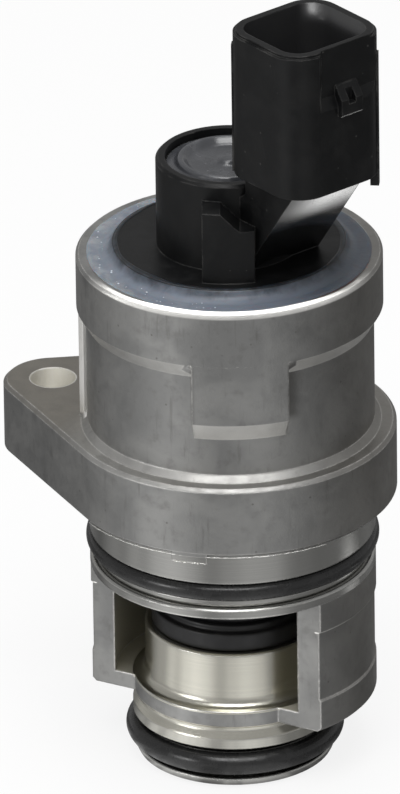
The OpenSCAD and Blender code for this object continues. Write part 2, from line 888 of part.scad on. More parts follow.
// Slotted screw that sets the preload of the spring
module adjusting_screw() {
    color("darkgoldenrod")
        difference() {
            translate([0, 0, z_screw]) cylinder(r = pole_bore_r, h = screw_l);
            translate([-big / 2, -0.4, z_screw + screw_l - 1.2]) cube([big, 0.8, 2]);
        }
}

// Points of a circle of the wire's section at one place on the spring's helix
function coil_point(turn, side, sides, r, z_lo, rise) =
    let (a = 360 * turn, b = 360 * side / sides)
    [
        (r + wire_d / 2 * cos(b)) * cos(a),
        (r + wire_d / 2 * cos(b)) * sin(a),
        z_lo + rise * turn + wire_d / 2 * sin(b)
    ];

// Compression spring between the armature and the adjusting screw
module return_spring() {
    steps = 18;
    sides = 8;
    rings = spring_turns * steps;
    r = pole_bore_r - 0.3 - wire_d / 2;
    z_lo = z_spring_lo + wire_d / 2 + seat_gap;
    rise = (z_screw - z_spring_lo - wire_d - 2 * seat_gap) / spring_turns;
    points = [
        for (i = [0:rings], j = [0:sides - 1])
            coil_point(i / steps, j, sides, r, z_lo, rise)
    ];
    sides_faces = [
        for (i = [0:rings - 1], j = [0:sides - 1])
            let (k = (j + 1) % sides)
            [i * sides + j, (i + 1) * sides + j, (i + 1) * sides + k, i * sides + k]
    ];
    start = [for (j = [0:sides - 1]) j];
    end = [for (j = [sides - 1:-1:0]) rings * sides + j];
    color("gray") polyhedron(points = points, faces = concat(sides_faces, [start, end]), convexity = 10);
}

// Moving steel core, with a pocket for the spring and a groove that lets air past
module armature() {
    color("lightsteelblue")
        difference() {
            translate([0, 0, z_armature]) cylinder(r = armature_r, h = armature_l);
            translate([0, 0, z_armature - 1]) cylinder(r = shaft_r + seat_gap, h = big);
            translate([0, 0, z_spring_lo]) cylinder(r = pole_bore_r, h = big);
            translate([armature_r - 0.7, -0.6, z_armature - 1]) cube([2, 1.2, armature_l + 2]);
        }
}

// Rod that joins the armature to the poppet
module valve_shaft() {
    color("gainsboro")
        rotate_extrude()
            polygon([
                [0, z_shaft],
                [shaft_r - 0.3, z_shaft],
                [shaft_r, z_shaft + 0.3],
                [shaft_r, z_shaft_top],
                [0, z_shaft_top]
            ]);
}

// Bronze bushing that guides the shaft
module shaft_bushing() {
    color("peru")
        ring(shaft_r + run_gap, bushing_r, z_pocket - bushing_l, z_pocket);
}

// Folded rubber sleeve between the casting and the poppet
module bellows() {
    z_hi = z_ceiling - seat_gap;
    h = z_hi - z_bellows - seat_gap;
    mid = bellows_r - bellows_fold / 2;
    steps = 24;
    outer = [
        for (i = [0:steps])
            [mid - bellows_fold / 2 * cos(720 * i / steps), z_hi - h * i / steps]
    ];
    inner = [
        for (i = [steps:-1:0])
            [mid - bellows_wall - bellows_fold / 2 * cos(720 * i / steps), z_hi - h * i / steps]
    ];
    color("#303030") rotate_extrude() polygon(concat(outer, inner));
}

// Poppet: rim plate, narrow collar and hub
module poppet() {
    color("#35373a")
        rotate_extrude()
            polygon([
                [shaft_r + seat_gap, z_face + seat_gap],
                [poppet_r - 0.1, z_face + seat_gap],
                [poppet_r - 0.1, z_rim_top - 0.3],
                [poppet_r - 0.4, z_rim_top],
                [bellows_r - 0.9, z_rim_top],
                [bellows_r - 0.9, z_bellows],
                [hub_r + 1, z_bellows],
                [hub_r, z_hub],
                [shaft_r + seat_gap, z_hub]
            ]);
}

// Rubber face that closes on the valve seat
module poppet_face() {
    color("#1d1e20")
        rotate_extrude()
            polygon([
                [hub_r + seat_gap, z_seat + seat_gap],
                [poppet_r - 0.2, z_seat + seat_gap],
                [poppet_r, z_seat + 0.25],
                [poppet_r, z_seat + face_t - 0.15],
                [poppet_r - 0.15, z_seat + face_t],
                [hub_r + seat_gap, z_seat + face_t]
            ]);
}

// Clip that holds the poppet on the shaft
module retaining_clip() {
    color("slategray")
        difference() {
            ring(shaft_r + seat_gap, hub_r - 0.6, z_face - clip_t, z_face);
            translate([0, -shaft_r * 0.6, z_face - clip_t - 1])
                cube([big, shaft_r * 1.2, clip_t + 2]);
        }
}

body();
upper_o_ring();
lower_o_ring();
connector_cover();
tower_plug();
potting_seal();
terminal_near();
terminal_far();
flux_can();
flux_plate();
cushion_ring();
coil_bobbin();
coil_winding();
guide_tube();
guide_o_ring();
pole_core();
adjusting_screw();
return_spring();
armature();
valve_shaft();
shaft_bushing();
bellows();
poppet();
poppet_face();
retaining_clip();
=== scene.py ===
"""Looks of an idle air control valve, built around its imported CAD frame.

Lengths in this file are millimetres in the part's own frame, and become metres where a mesh is made.
+Z runs up the valve's axis to the plug, the bolt ear points to -X and the air window faces -Y.
"""

import logging
import math
import random
from collections.abc import Callable, Sequence
from dataclasses import dataclass
from enum import Enum
from functools import cached_property, reduce

import bmesh
import bpy
from mathutils import Matrix, Vector


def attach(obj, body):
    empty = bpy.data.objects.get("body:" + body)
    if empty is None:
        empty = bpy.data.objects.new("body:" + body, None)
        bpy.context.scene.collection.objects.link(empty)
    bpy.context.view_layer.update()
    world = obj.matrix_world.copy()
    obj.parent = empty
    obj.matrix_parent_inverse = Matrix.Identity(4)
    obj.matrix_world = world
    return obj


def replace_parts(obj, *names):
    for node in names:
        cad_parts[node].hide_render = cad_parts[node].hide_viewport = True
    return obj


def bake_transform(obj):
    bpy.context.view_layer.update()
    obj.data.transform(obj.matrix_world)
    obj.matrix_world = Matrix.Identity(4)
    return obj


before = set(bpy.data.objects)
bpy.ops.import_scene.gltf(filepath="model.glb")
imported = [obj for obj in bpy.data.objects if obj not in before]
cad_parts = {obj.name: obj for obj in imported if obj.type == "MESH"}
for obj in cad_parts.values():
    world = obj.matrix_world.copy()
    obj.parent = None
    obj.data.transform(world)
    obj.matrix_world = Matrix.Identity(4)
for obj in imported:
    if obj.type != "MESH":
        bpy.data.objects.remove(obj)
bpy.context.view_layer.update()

MM = 0.001
log = logging.getLogger("valve")

Colour = tuple[float, float, float]
Point = tuple[float, float]
Socket = bpy.types.NodeSocket
Value = float | Socket
Paint = Colour | Socket


class Body(Enum):
    """Bodies of the frame that a piece can ride on."""

    HOUSING = "housing"
    VALVE = "valve"


@dataclass(frozen=True)
class Levels:
    """Heights on the axis that the pieces share, in the frame."""

    tip: float = -40.1
    nozzle_groove_low: float = -38.7
    nozzle_groove_high: float = -34.1
    plate: float = -30.6
    floor: float = -28.3
    seat: float = -20.2
    poppet_rim: float = -17.55
    bellows_low: float = -16.7
    turned_low: float = -15.3
    ceiling: float = -10.9
    groove_low: float = -9.5
    groove_high: float = -5.7
    flange_top: float = 10.4
    collar_low: float = 26.1
    collar: float = 28.3
    rim: float = 36.1
    tower_recess: float = 49.4
    mouth: float = 75.7


LEVEL = Levels()


# ---------------------------------------------------------------- node trees


class NodeTree:
    """Node tree with short calls for the nodes that shaders, the sky and the growth rules share."""

    def __init__(self, tree: bpy.types.NodeTree) -> None:
        """Take hold of a tree and empty it."""
        self.tree = tree
        self.tree.nodes.clear()

    def node(self, kind: str, inputs: dict[str | int, object] | None = None,
             **settings: object) -> bpy.types.Node:
        """Add a node, set its properties and feed its inputs.

        Args:
            kind: Type of the node, as Blender has it.
            inputs: Values of its inputs, by name or place.
            settings: Its properties, which are set before the inputs.

        Returns:
            The node.
        """
        made = self.tree.nodes.new(kind)
        for key, value in settings.items():
            setattr(made, key, value)
        for key, value in (inputs or {}).items():
            self.feed(made.inputs[key], value)
        return made

    def feed(self, socket: Socket, value: object) -> None:
        """Link value into socket, or set it there when it is plain.

        Args:
            socket: Input of a node.
            value: Output to link, number, vector, or colour with or without its alpha.
        """
        if isinstance(value, bpy.types.NodeSocket):
            self.tree.links.new(value, socket)
            return
        if isinstance(value, Sequence):
            value = tuple(value)
            if len(socket.default_value) == len(value) + 1:
                value += (1.0,)
        socket.default_value = value

    def math(self, operation: str, *values: Value, clamp: bool = False) -> Socket:
        """Add a Math node and return its output, kept between 0 and 1 if clamp is set."""
        inputs = dict(enumerate(values))
        return self.node("ShaderNodeMath", inputs, operation=operation, use_clamp=clamp).outputs[0]

    def times(self, *values: Value) -> Socket:
        """Return the product of the values."""
        return reduce(lambda first, second: self.math("MULTIPLY", first, second), values)

    def plus(self, first: Value, second: Value) -> Socket:
        """Return the sum of two values."""
        return self.math("ADD", first, second)

    def split(self, vector: Socket) -> tuple[Socket, ...]:
        """Return the three parts of a vector."""
        return tuple(self.node("ShaderNodeSeparateXYZ", {0: vector}).outputs)

    def join(self, x: Value = 0.0, y: Value = 0.0, z: Value = 0.0) -> Socket:
        """Return a vector made of three values."""
        return self.node("ShaderNodeCombineXYZ", {0: x, 1: y, 2: z}).outputs[0]

    def fit(self, value: Value, low: float, high: float, to_low: float = 0.0,
            to_high: float = 1.0) -> Socket:
        """Return value mapped smoothly from one range to another and kept inside it.

        Args:
            value: Number to map.
            low: Start of the range that it comes from.
            high: End of that range.
            to_low: What it becomes at low.
            to_high: What it becomes at high.

        Returns:
            The mapped number.
        """
        inputs = {"Value": value, "From Min": low, "From Max": high, "To Min": to_low, "To Max": to_high}
        made = self.node("ShaderNodeMapRange", inputs, clamp=True, interpolation_type="SMOOTHSTEP")
        return made.outputs["Result"]

    def blend(self, share: Value, first: Value, second: Value) -> Socket:
        """Return a number between first and second."""
        return self.node("ShaderNodeMix", {0: share, 2: first, 3: second}, data_type="FLOAT").outputs[0]

    def rays(self) -> tuple[Socket, Socket]:
        """Return 1 for rays from the camera, and 1 for rays by way of metal or glass."""
        rays = self.node("ShaderNodeLightPath").outputs
        return rays["Is Camera Ray"], self.math("MAXIMUM", rays["Is Glossy Ray"], rays["Is Transmission Ray"])


class ShaderTree(NodeTree):
    """Node tree of one material, in millimetres of the piece's own coordinates."""

    def __init__(self, name: str) -> None:
        """Start an empty material called name.

        Args:
            name: Name of the material.
        """
        self.material = bpy.data.materials.new(name)
        self.material.use_nodes = True
        super().__init__(self.material.node_tree)
        self.place = self.scale(self.node("ShaderNodeTexCoord").outputs["Object"], 1 / MM)
        self.x, self.y, self.z = self.split(self.place)

    @cached_property
    def r(self) -> Socket:
        """Distance from the valve's axis, in millimetres."""
        return self.vector("LENGTH", self.join(self.x, self.y))

    @cached_property
    def angle(self) -> Socket:
        """Angle round the axis, in degrees from +X."""
        return self.math("DEGREES", self.math("ARCTAN2", self.y, self.x))

    @cached_property
    def facing(self) -> Socket:
        """Normal of the surface itself."""
        return self.node("ShaderNodeNewGeometry").outputs["Normal"]

    def vector(self, operation: str, *values: Value | Sequence[float]) -> Socket:
        """Add a Vector Math node and return its vector or value.

        Args:
            operation: Name of the operation, as Blender has it.
            values: Its inputs.

        Returns:
            The value of a product, length or distance, and otherwise the vector.
        """
        made = self.node("ShaderNodeVectorMath", dict(enumerate(values)), operation=operation)
        scalar = operation in ("DOT_PRODUCT", "LENGTH", "DISTANCE")
        return made.outputs["Value" if scalar else "Vector"]

    def scale(self, vector: Socket | Sequence[float], share: Value) -> Socket:
        """Return a vector made longer or shorter."""
        return self.node("ShaderNodeVectorMath", {0: vector, "Scale": share}, operation="SCALE").outputs[0]

    def lean(self, normal: Socket, push: Socket) -> Socket:
        """Return normals tilted by a push."""
        return self.vector("NORMALIZE", self.vector("ADD", normal, push))

    def along(self, x: float, y: float) -> Socket:
        """Return how far a place lies from the axis in one level direction."""
        return self.vector("DOT_PRODUCT", self.place, (x, y, 0.0))

    def noise(self, place: Socket, scale: float, detail: float, rough: float, warp: float = 0.0) -> Socket:
        """Return a noise between 0 and 1 with that many features to the millimetre."""
        inputs = {"Vector": place, "Scale": scale, "Detail": detail, "Roughness": rough, "Distortion": warp}
        return self.node("ShaderNodeTexNoise", inputs).outputs["Fac"]

    def specks(self, scale: float, share: float) -> Socket:
        """Return small specks of that strength, from a pattern with that many cells to the millimetre."""
        made = self.node("ShaderNodeTexVoronoi", {"Vector": self.place, "Scale": scale})
        return self.fit(made.outputs["Distance"], 0.04, 0.07, share, 0.0)

    def band(self, value: Value, low: float, high: float, edge: float = 0.1) -> Socket:
        """Return 1 where value lies between low and high, with soft edges."""
        return self.times(self.fit(value, low - edge, low + edge),
                          self.fit(value, high - edge, high + edge, 1.0, 0.0))

    def mix(self, share: Value, first: Paint, second: Paint) -> Socket:
        """Return a colour between first and second."""
        return self.node("ShaderNodeMix", {0: share, 6: first, 7: second}, data_type="RGBA").outputs[2]

    def paint(self, colour: Socket, *coats: tuple[Value, Paint]) -> Socket:
        """Lay coats over a colour, each of them a share and its own colour.

        Args:
            colour: Ground that the coats cover.
            coats: Pairs of a share and a colour, lowest first.

        Returns:
            The colour on top.
        """
        for share, coat in coats:
            colour = self.mix(share, colour, coat)
        return colour

    def around(self) -> Socket:
        """Return the direction that runs round the valve's axis, for turned metal."""
        return self.vector("NORMALIZE", self.join(self.times(self.y, -1.0), self.x))

    def soft_edges(self, radius: float, samples: int = 4) -> Socket:
        """Return normals that round the edges by that many millimetres."""
        return self.node("ShaderNodeBevel", {"Radius": radius * MM}, samples=samples).outputs["Normal"]

    def edge_share(self, rounded: Socket) -> Socket:
        """Return 1 on edges and 0 on flat ground, from rounded normals."""
        turned = self.math("SUBTRACT", 1.0, self.vector("DOT_PRODUCT", rounded, self.facing))
        return self.fit(turned, 0.0, 0.12)

    def bump(self, height: Value, depth: float, normal: Socket | None, strength: float) -> Socket:
        """Return normals pushed by a height map that is depth millimetres deep.

        Args:
            height: Height map, about 1 high.
            depth: Height of 1 in it, in millimetres.
            normal: Normals to start from, or None for those of the surface.
            strength: How far the result follows the map, from 0 to 1.

        Returns:
            The new normals.
        """
        made = self.node("ShaderNodeBump", {"Distance": depth * MM, "Strength": strength, "Height": height})
        if normal is not None:
            self.feed(made.inputs["Normal"], normal)
        return made.outputs["Normal"]

    def close(self, shader: bpy.types.Node) -> bpy.types.Material:
        """Close the tree with a shader and return its material."""
        self.node("ShaderNodeOutputMaterial", {"Surface": shader.outputs[0]})
        return self.material

    def surface(self, **inputs: Value | Sequence[float]) -> bpy.types.Material:
        """Close the tree with a Principled shader, its inputs named with underscores for spaces."""
        spaced = {key.replace("_", " "): value for key, value in inputs.items()}
        return self.close(self.node("ShaderNodeBsdfPrincipled", spaced))


# ---------------------------------------------------------------- finishes


@dataclass(frozen=True)
class CastingFinish:
    """Die-cast aluminium, turned bright on the seal grooves and the seat, with painted highlights on the rim's front,
    slopes, rib and a machining step, painted light in the air window and painted shade on its right side, tops and pad
    corners.
    """

    shade: Colour = (0.32, 0.32, 0.315)
    light: Colour = (0.42, 0.418, 0.408)
    stain: Colour = (0.2, 0.195, 0.185)
    # Brown tone with painted shade on up-facing faces, strongest near the ear.
    brown_top_shade: Colour = (0.31, 0.287, 0.248)
    # Painted shade on the cast skin's right side.
    right_side_shade: Colour = (0.27, 0.256, 0.234)
    turned: Colour = (0.5, 0.497, 0.475)
    seat: Colour = (0.72, 0.7, 0.61)
    # Painted light: the walls inside the air window are lightened, and the drilled bolt hole too, partly as bright
    # drilled metal.
    inside: Colour = (0.66, 0.64, 0.56)
    bore: Colour = (0.68, 0.66, 0.6)
    # Edge wear and chips, and also the painted highlights on the machining step, the slopes, the rim's front, the rib
    # and the front tops.
    worn_and_highlight: Colour = (0.85, 0.84, 0.81)
    # Painted shade in the corners beside the front pad.
    corner_shade: Colour = (0.1, 0.097, 0.09)
    grain: float = 3.2
    mottle: float = 0.11
    edge: float = 0.45
    ear_reach: float = 28.1
    bolt_r: float = 3.2
    seat_r: float = 14.1
    seat_top: float = -14.5
    cage_r: float = 17.9
    barrel_r: float = 19.9
    # Half height of the painted highlight line at the step where the machined band ends.
    step_highlight: float = 0.11

    def build(self) -> bpy.types.Material:
        """Return the material of the casting.

        Returns:
            The finished material.
        """
        tree = ShaderTree("cast_aluminium")
        z, r = tree.z, tree.r
        seat = tree.times(tree.fit(r, self.seat_r, self.seat_r + 0.2, 1.0, 0.0),
                          tree.band(z, LEVEL.nozzle_groove_high, self.seat_top))
        plate = tree.band(z, LEVEL.plate + 0.1, LEVEL.floor - 0.35, 0.05)
        seat = tree.math("SUBTRACT", seat, plate, clamp=True)
        turned = self.turned_share(tree)
        machined = tree.math("MAXIMUM", turned, seat)
        rounded = tree.soft_edges(self.edge, 8)
        edges = tree.edge_share(rounded)
        clouds = tree.noise(tree.place, self.mottle * 4.5, 4.0, 0.6)
        grain = tree.noise(tree.place, self.grain, 3.0, 0.65)
        runs = tree.noise(tree.vector("MULTIPLY", tree.place, (1.0, 1.0, 0.05)), 1.3, 3.0, 0.6)
        # Painted light inside the air window, also laid on the drilled bolt hole.
        inside = tree.times(tree.fit(r, self.cage_r - 0.3, self.cage_r, 1.0, 0.0),
                            tree.band(z, LEVEL.floor - 0.1, LEVEL.ceiling + 0.1),
                            tree.fit(tree.split(tree.facing)[1], -0.95, -0.85))
        bolt = tree.vector("LENGTH", tree.join(tree.plus(tree.x, self.ear_reach), tree.y))
        drilled = tree.fit(bolt, self.bolt_r + 0.05, self.bolt_r + 0.15, 1.0, 0.0)
        lines = tree.noise(tree.join(z=z), 5.0, 3.0, 0.7)
        streaks = tree.fit(lines, 0.3, 0.7, 0.0, 0.35)
        wear = tree.times(edges, tree.fit(clouds, 0.3, 0.6, 0.25, 0.8))
        chips = tree.times(tree.fit(edges, 0.2, 0.5), tree.fit(grain, 0.56, 0.6))
        # Painted highlight: a bright line along the step where the machined band meets the cast skin.
        step_highlight = tree.times(tree.band(z, LEVEL.turned_low - self.step_highlight, LEVEL.turned_low + self.step_highlight, 0.05),
                          tree.fit(r, 18.9, 19.2))
        rim_highlight, rib = self.rim_highlight(tree), self.rib_highlight(tree)
        # Layers: painted light in the air window and on the bolt hole, the bore, painted corner shade, turned and seat
        # metal, then edge wear, chips and the painted highlights of the step, slopes, rim front and rib.
        colour = tree.paint(
            self.cast(tree, clouds),
            (tree.math("MAXIMUM", inside, drilled), self.inside),
            (tree.times(drilled, tree.fit(runs, 0.4, 0.7, 1.0, 0.5)), self.bore),
            (tree.times(self.corner_shade_share(tree), 0.7), self.corner_shade),
            (turned, tree.mix(streaks, self.turned, self.shade)),
            (seat, tree.mix(streaks, self.seat, self.turned)),
            *((share, self.worn_and_highlight) for share in (wear, chips, step_highlight, self.slope_highlight(tree), rim_highlight, rib)))
        dull = tree.math("MAXIMUM", drilled, tree.math("SUBTRACT", inside, seat, clamp=True))
        rough = tree.blend(machined, tree.fit(clouds, 0.3, 0.7, 0.4, 0.52), 0.24)
        rough = tree.blend(dull, rough, 0.7)
        for share, push in ((drilled, (0.0, 0.0, 0.8)), (rim_highlight, (0.42, -0.8, 0.0)), (step_highlight, (0.0, 0.0, 0.6)),
                            (rib, (0.0, -1.7, 0.0))):
            rounded = tree.lean(rounded, tree.scale(push, share))
        height = tree.blend(machined, tree.plus(grain, tree.times(clouds, 1.5)), tree.times(lines, 0.25))
        return tree.surface(Base_Color=colour, Metallic=1.0, Roughness=rough,
                            Normal=tree.bump(height, 0.05, rounded, 0.5),
                            Anisotropic=tree.times(machined, 0.6), Tangent=tree.around())

    def turned_share(self, tree: ShaderTree) -> Socket:
        """Return 1 where the casting has been turned bright: the spigot's grooves and the nozzle.

        Args:
            tree: Tree of the casting's material.

        Returns:
            A share from 0 to 1.
        """
        spigot = tree.times(tree.band(tree.z, LEVEL.ceiling, 0.0, 0.06), tree.fit(tree.r, 17.2, 17.4))
        nozzle = tree.fit(tree.z, LEVEL.plate - 0.1, LEVEL.plate + 0.1, 1.0, 0.0)
        return tree.math("MAXIMUM", spigot, nozzle)

    def rim_highlight(self, tree: ShaderTree) -> Socket:
        """Return 1 on the front of the rim, which is painted as a highlight and whose normals lean outwards.

        Args:
            tree: Tree of the casting's material.

        Returns:
            A share from 0 to 1.
        """
        reach = tree.along(0.5, -0.87)
        wide = tree.plus(tree.r, tree.fit(reach, 14.0, 20.0, 0.0, 0.7))
        top = tree.fit(tree.z, LEVEL.rim - 0.7, LEVEL.rim - 0.4)
        return tree.times(tree.fit(reach, 6.0, 18.0), tree.times(top, tree.fit(wide, 19.9, 20.2)))

    def slope_highlight(self, tree: ShaderTree) -> Socket:
        """Return how much painted highlight lies on the downward slopes between the collar and the flange.

        Args:
            tree: Tree of the casting's material.

        Returns:
            A share from 0 to 0.9, less on the left of the pad.
        """
        slope = tree.times(tree.fit(tree.split(tree.facing)[2], -0.3, -0.5),
                           tree.band(tree.z, LEVEL.flange_top + 0.6, LEVEL.collar + 0.7, 0.3))
        return tree.times(slope, tree.fit(tree.angle, -80.0, -74.0, 0.5, 0.9))

    def rib_highlight(self, tree: ShaderTree) -> Socket:
        """Return 1 on the sloping side of the rib above the ear, where a painted highlight goes.

        Args:
            tree: Tree of the casting's material.

        Returns:
            A share from 0 to 1.
        """
        height = tree.band(tree.z, LEVEL.flange_top + 0.4, LEVEL.collar_low - 0.3, 0.3)
        return tree.times(tree.band(tree.angle, -165.0, -150.0, 0.5),
                          tree.times(tree.fit(tree.r, self.barrel_r + 0.03, self.barrel_r + 0.13), height))

    def corner_shade_share(self, tree: ShaderTree) -> Socket:
        """Return how much painted shade darkens the corners beside the front pad.

        Args:
            tree: Tree of the casting's material.

        Returns:
            A share from 0 to 1.
        """
        right = tree.times(tree.fit(tree.angle, -31.0, -37.5), tree.fit(tree.angle, -40.0, -38.2))
        left = tree.times(tree.band(tree.angle, -77.5, -75.6, 0.8), 0.6)
        return tree.times(tree.math("MAXIMUM", right, left), tree.band(tree.z, 19.2, 28.2, 0.8))

    def cast(self, tree: ShaderTree, clouds: Socket) -> Socket:
        """Return the colour of the cast skin: soft mottling, handling marks, painted shade on its right side, a brown
        tone with painted shade on up-facing faces and a painted highlight on the tops at the front left.

        Args:
            tree: Tree of the casting's material.
            clouds: Noise that stains and wear share.

        Returns:
            The colour.
        """
        patches = tree.noise(tree.place, self.mottle, 3.0, 0.6, 0.6)
        runs = tree.noise(tree.vector("MULTIPLY", tree.place, (1.0, 1.0, 0.12)), 1.1, 3.0, 0.6)
        top = tree.times(tree.fit(tree.split(tree.facing)[2], 0.45, 0.9), tree.fit(tree.z, 30.0, 31.0, 1.0, 0.0))
        front = tree.times(tree.fit(tree.angle, -100.0, -75.0, 0.45, 0.05), tree.fit(tree.x, -15.0, -11.0))
        return tree.paint(
            tree.mix(tree.fit(patches, 0.32, 0.68), self.shade, self.light),
            # painted shade on the right side
            (tree.fit(tree.along(0.88, 0.48), 8.0, 20.0, 0.0, 0.55), self.right_side_shade),
            (tree.fit(clouds, 0.5, 0.8, 0.0, 0.4), self.stain),
            (tree.fit(runs, 0.58, 0.75, 0.0, 0.4), self.stain),
            (tree.specks(0.35, 0.7), self.stain),
            # brown tone with painted shade on up-facing faces, then a painted highlight on the tops at the front left
            (tree.times(top, tree.fit(tree.x, -22.0, -14.0, 0.8, 0.25)), self.brown_top_shade),
            (tree.times(top, front), self.worn_and_highlight))


@dataclass(frozen=True)
class PlasticFinish:
    """Black glass-filled moulding plastic, scuffed and lightened as a painted highlight on its edges, with a painted
    reflection where sheen points and painted light inside the socket's mouth.
    """

    name: str = "black_moulding"
    shade: Colour = (0.0045, 0.0047, 0.005)
    bloom: Colour = (0.011, 0.011, 0.011)
    # Scuffed edges and specks, lightened also as a painted highlight on the edges.
    scuff_and_highlight: Colour = (0.13, 0.128, 0.122)
    roughness: float = 0.4
    edge: float = 0.26
    level: float = 0.25
    sheen: tuple[float, float, float] | None = None
    mouth: tuple[float, float, float] = (15.6, -6.5, 0.0)
    # Painted light on the inner walls near the top of the socket.
    inner_wall_light: Colour = (0.03, 0.03, 0.031)
    # Painted reflection: near-white colour of the metallic patch on the bracket's underside.
    glint: Colour = (0.9, 0.9, 0.89)

    def build(self) -> bpy.types.Material:
        """Return the material.

        Returns:
            The finished material.
        """
        tree = ShaderTree(self.name)
        z = tree.z
        rounded = tree.soft_edges(self.edge)
        clouds = tree.noise(tree.place, 0.25, 4.0, 0.6, 0.4)
        grain = tree.noise(tree.place, 6.0, 2.0, 0.6)
        wear = tree.times(tree.edge_share(rounded), tree.fit(clouds, 0.42, 0.7, 0.02, 0.65))
        colour = tree.paint(tree.mix(tree.fit(clouds, 0.4, 0.75, 0.0, 0.6), self.shade, self.bloom),
                            (wear, self.scuff_and_highlight), (tree.specks(0.4, 0.25), self.scuff_and_highlight))
        rough = tree.fit(clouds, 0.3, 0.7, self.roughness - 0.06, self.roughness + 0.1)
        level: Value = self.level
        mirror: Value = 0.0
        if self.sheen:
            sheen = tree.fit(tree.vector("DOT_PRODUCT", tree.facing, self.sheen), 0.96, 0.99)
            rough = tree.blend(sheen, rough, 0.16)
            outward = tree.vector("SUBTRACT", tree.join(tree.x, tree.y), self.mouth)
            outward = tree.vector("DOT_PRODUCT", tree.facing, outward)
            inner = tree.times(tree.fit(outward, -2.0, -4.0), tree.fit(z, 56.0, 60.0))
            lit = tree.fit(tree.vector("DOT_PRODUCT", tree.facing, (-0.284, -0.959, 0.0)), 0.1, 0.9)
            lip = tree.times(inner, lit, tree.fit(z, LEVEL.mouth - 3.4, LEVEL.mouth - 0.8))
            level = tree.blend(lip, tree.blend(sheen, self.level, 1.0), 1.0)
            lean = tree.plus(tree.times(sheen, tree.fit(z, 40.0, 48.0, 0.0, 0.25)), lip)
            rounded = tree.lean(rounded, tree.join(z=lean))
            # Painted reflection: the bracket's underside turns metallic with the glint colour, fading downwards and
            # across it.
            reflection_fade = tree.times(tree.fit(z, 45.5, 50.0), tree.fit(tree.along(0.383, 0.924), -5.0, 3.5, 0.1, 1.0))
            mirror = tree.times(sheen, reflection_fade)
            # painted light on the socket's inner walls, then a painted reflection on the bracket's underside
            colour = tree.paint(colour, (tree.times(inner, 0.8), self.inner_wall_light), (mirror, self.glint))
        return tree.surface(Base_Color=colour, Metallic=mirror, Roughness=rough,
                            Normal=tree.bump(grain, 0.02, rounded, 0.4), Specular_IOR_Level=level)


@dataclass(frozen=True)
class RubberFinish:
    """Oiled black rubber of the seals and the bellows."""

    name: str = "seal_rubber"
    shade: Colour = (0.016, 0.016, 0.0162)
    dust: Colour = (0.06, 0.059, 0.055)
    roughness: float = 0.26

    def build(self) -> bpy.types.Material:
        """Return the material.

        Returns:
            The finished material.
        """
        tree = ShaderTree(self.name)
        clouds = tree.noise(tree.place, 0.5, 4.0, 0.65)
        grain = tree.noise(tree.place, 9.0, 2.0, 0.6)
        colour = tree.mix(tree.fit(clouds, 0.5, 0.85, 0.0, 0.35), self.shade, self.dust)
        rough = tree.fit(clouds, 0.3, 0.75, self.roughness - 0.08, self.roughness + 0.14)
        return tree.surface(Base_Color=colour, Roughness=rough, Normal=tree.bump(grain, 0.006, None, 0.3))


@dataclass(frozen=True)
class SealantFinish:
    """Milky blue-grey sealant that lets the dark cover show through where it is thin, with painted light on its left
    and painted shade on its right.
    """

    thin: Colour = (0.012, 0.014, 0.018)
    thick: Colour = (0.16, 0.182, 0.222)
    # Pale tone of thick sealant, shown only towards the left side as painted light.
    pale: Colour = (0.3, 0.32, 0.34)
    inner: float = 15.5
    outer: float = 19.4

    def build(self) -> bpy.types.Material:
        """Return the material.

        Returns:
            The finished material.
        """
        tree = ShaderTree("milky_sealant")
        clouds = tree.noise(tree.place, 0.45, 4.0, 0.6, 0.5)
        depth = tree.plus(tree.r, tree.times(tree.math("SUBTRACT", clouds, 0.5), 1.6))
        # Painted light: the sealant is paler towards its left side.
        left = tree.fit(tree.along(-1.0, -0.2), -14.0, 20.0)
        pale = tree.times(tree.fit(depth, self.inner + 1.1, self.outer),
                          tree.times(left, tree.fit(clouds, 0.35, 0.7, 0.1, 0.9)))
        # Painted shade: the thin colour laid over the right side.
        shaded = tree.fit(tree.along(1.0, 0.6), 6.0, 20.0, 0.0, 0.6)
        colour = tree.paint(
            tree.mix(tree.fit(depth, self.inner + 0.1, self.inner + 1.7), self.thin, self.thick),
            (pale, self.pale), (shaded, self.thin))
        return tree.surface(Base_Color=colour, Roughness=0.34, Normal=tree.bump(clouds, 0.12, None, 0.6),
                            Subsurface_Weight=0.25, Subsurface_Scale=0.0015, Specular_IOR_Level=0.35)


class Metal(Enum):
    """Plain metals of the inner pieces: colour and roughness."""

    STEEL = ((0.34, 0.335, 0.325), 0.34)
    SPRING = ((0.42, 0.415, 0.4), 0.28)
    BRONZE = ((0.42, 0.27, 0.12), 0.38)
    TINNED = ((0.52, 0.5, 0.45), 0.3)


@dataclass(frozen=True)
class TurnedFinish:
    """Turned or drawn metal of one kind."""

    name: str
    metal: Metal

    def build(self) -> bpy.types.Material:
        """Return the material.

        Returns:
            The finished material.
        """
        shade, roughness = self.metal.value
        tree = ShaderTree(self.name)
        lines = tree.noise(tree.join(tree.r, 0.0, tree.z), 7.0, 3.0, 0.7)
        clouds = tree.noise(tree.place, 0.6, 3.0, 0.6)
        dark = tuple(0.6 * part for part in shade)
        colour = tree.mix(tree.fit(clouds, 0.35, 0.75, 0.0, 0.8), shade, dark)
        rough = tree.fit(lines, 0.3, 0.7, roughness - 0.06, roughness + 0.1)
        normal = tree.bump(lines, 0.01, tree.soft_edges(0.12), 0.5)
        return tree.surface(Base_Color=colour, Metallic=1.0, Roughness=rough, Normal=normal,
                            Anisotropic=0.5, Tangent=tree.around())


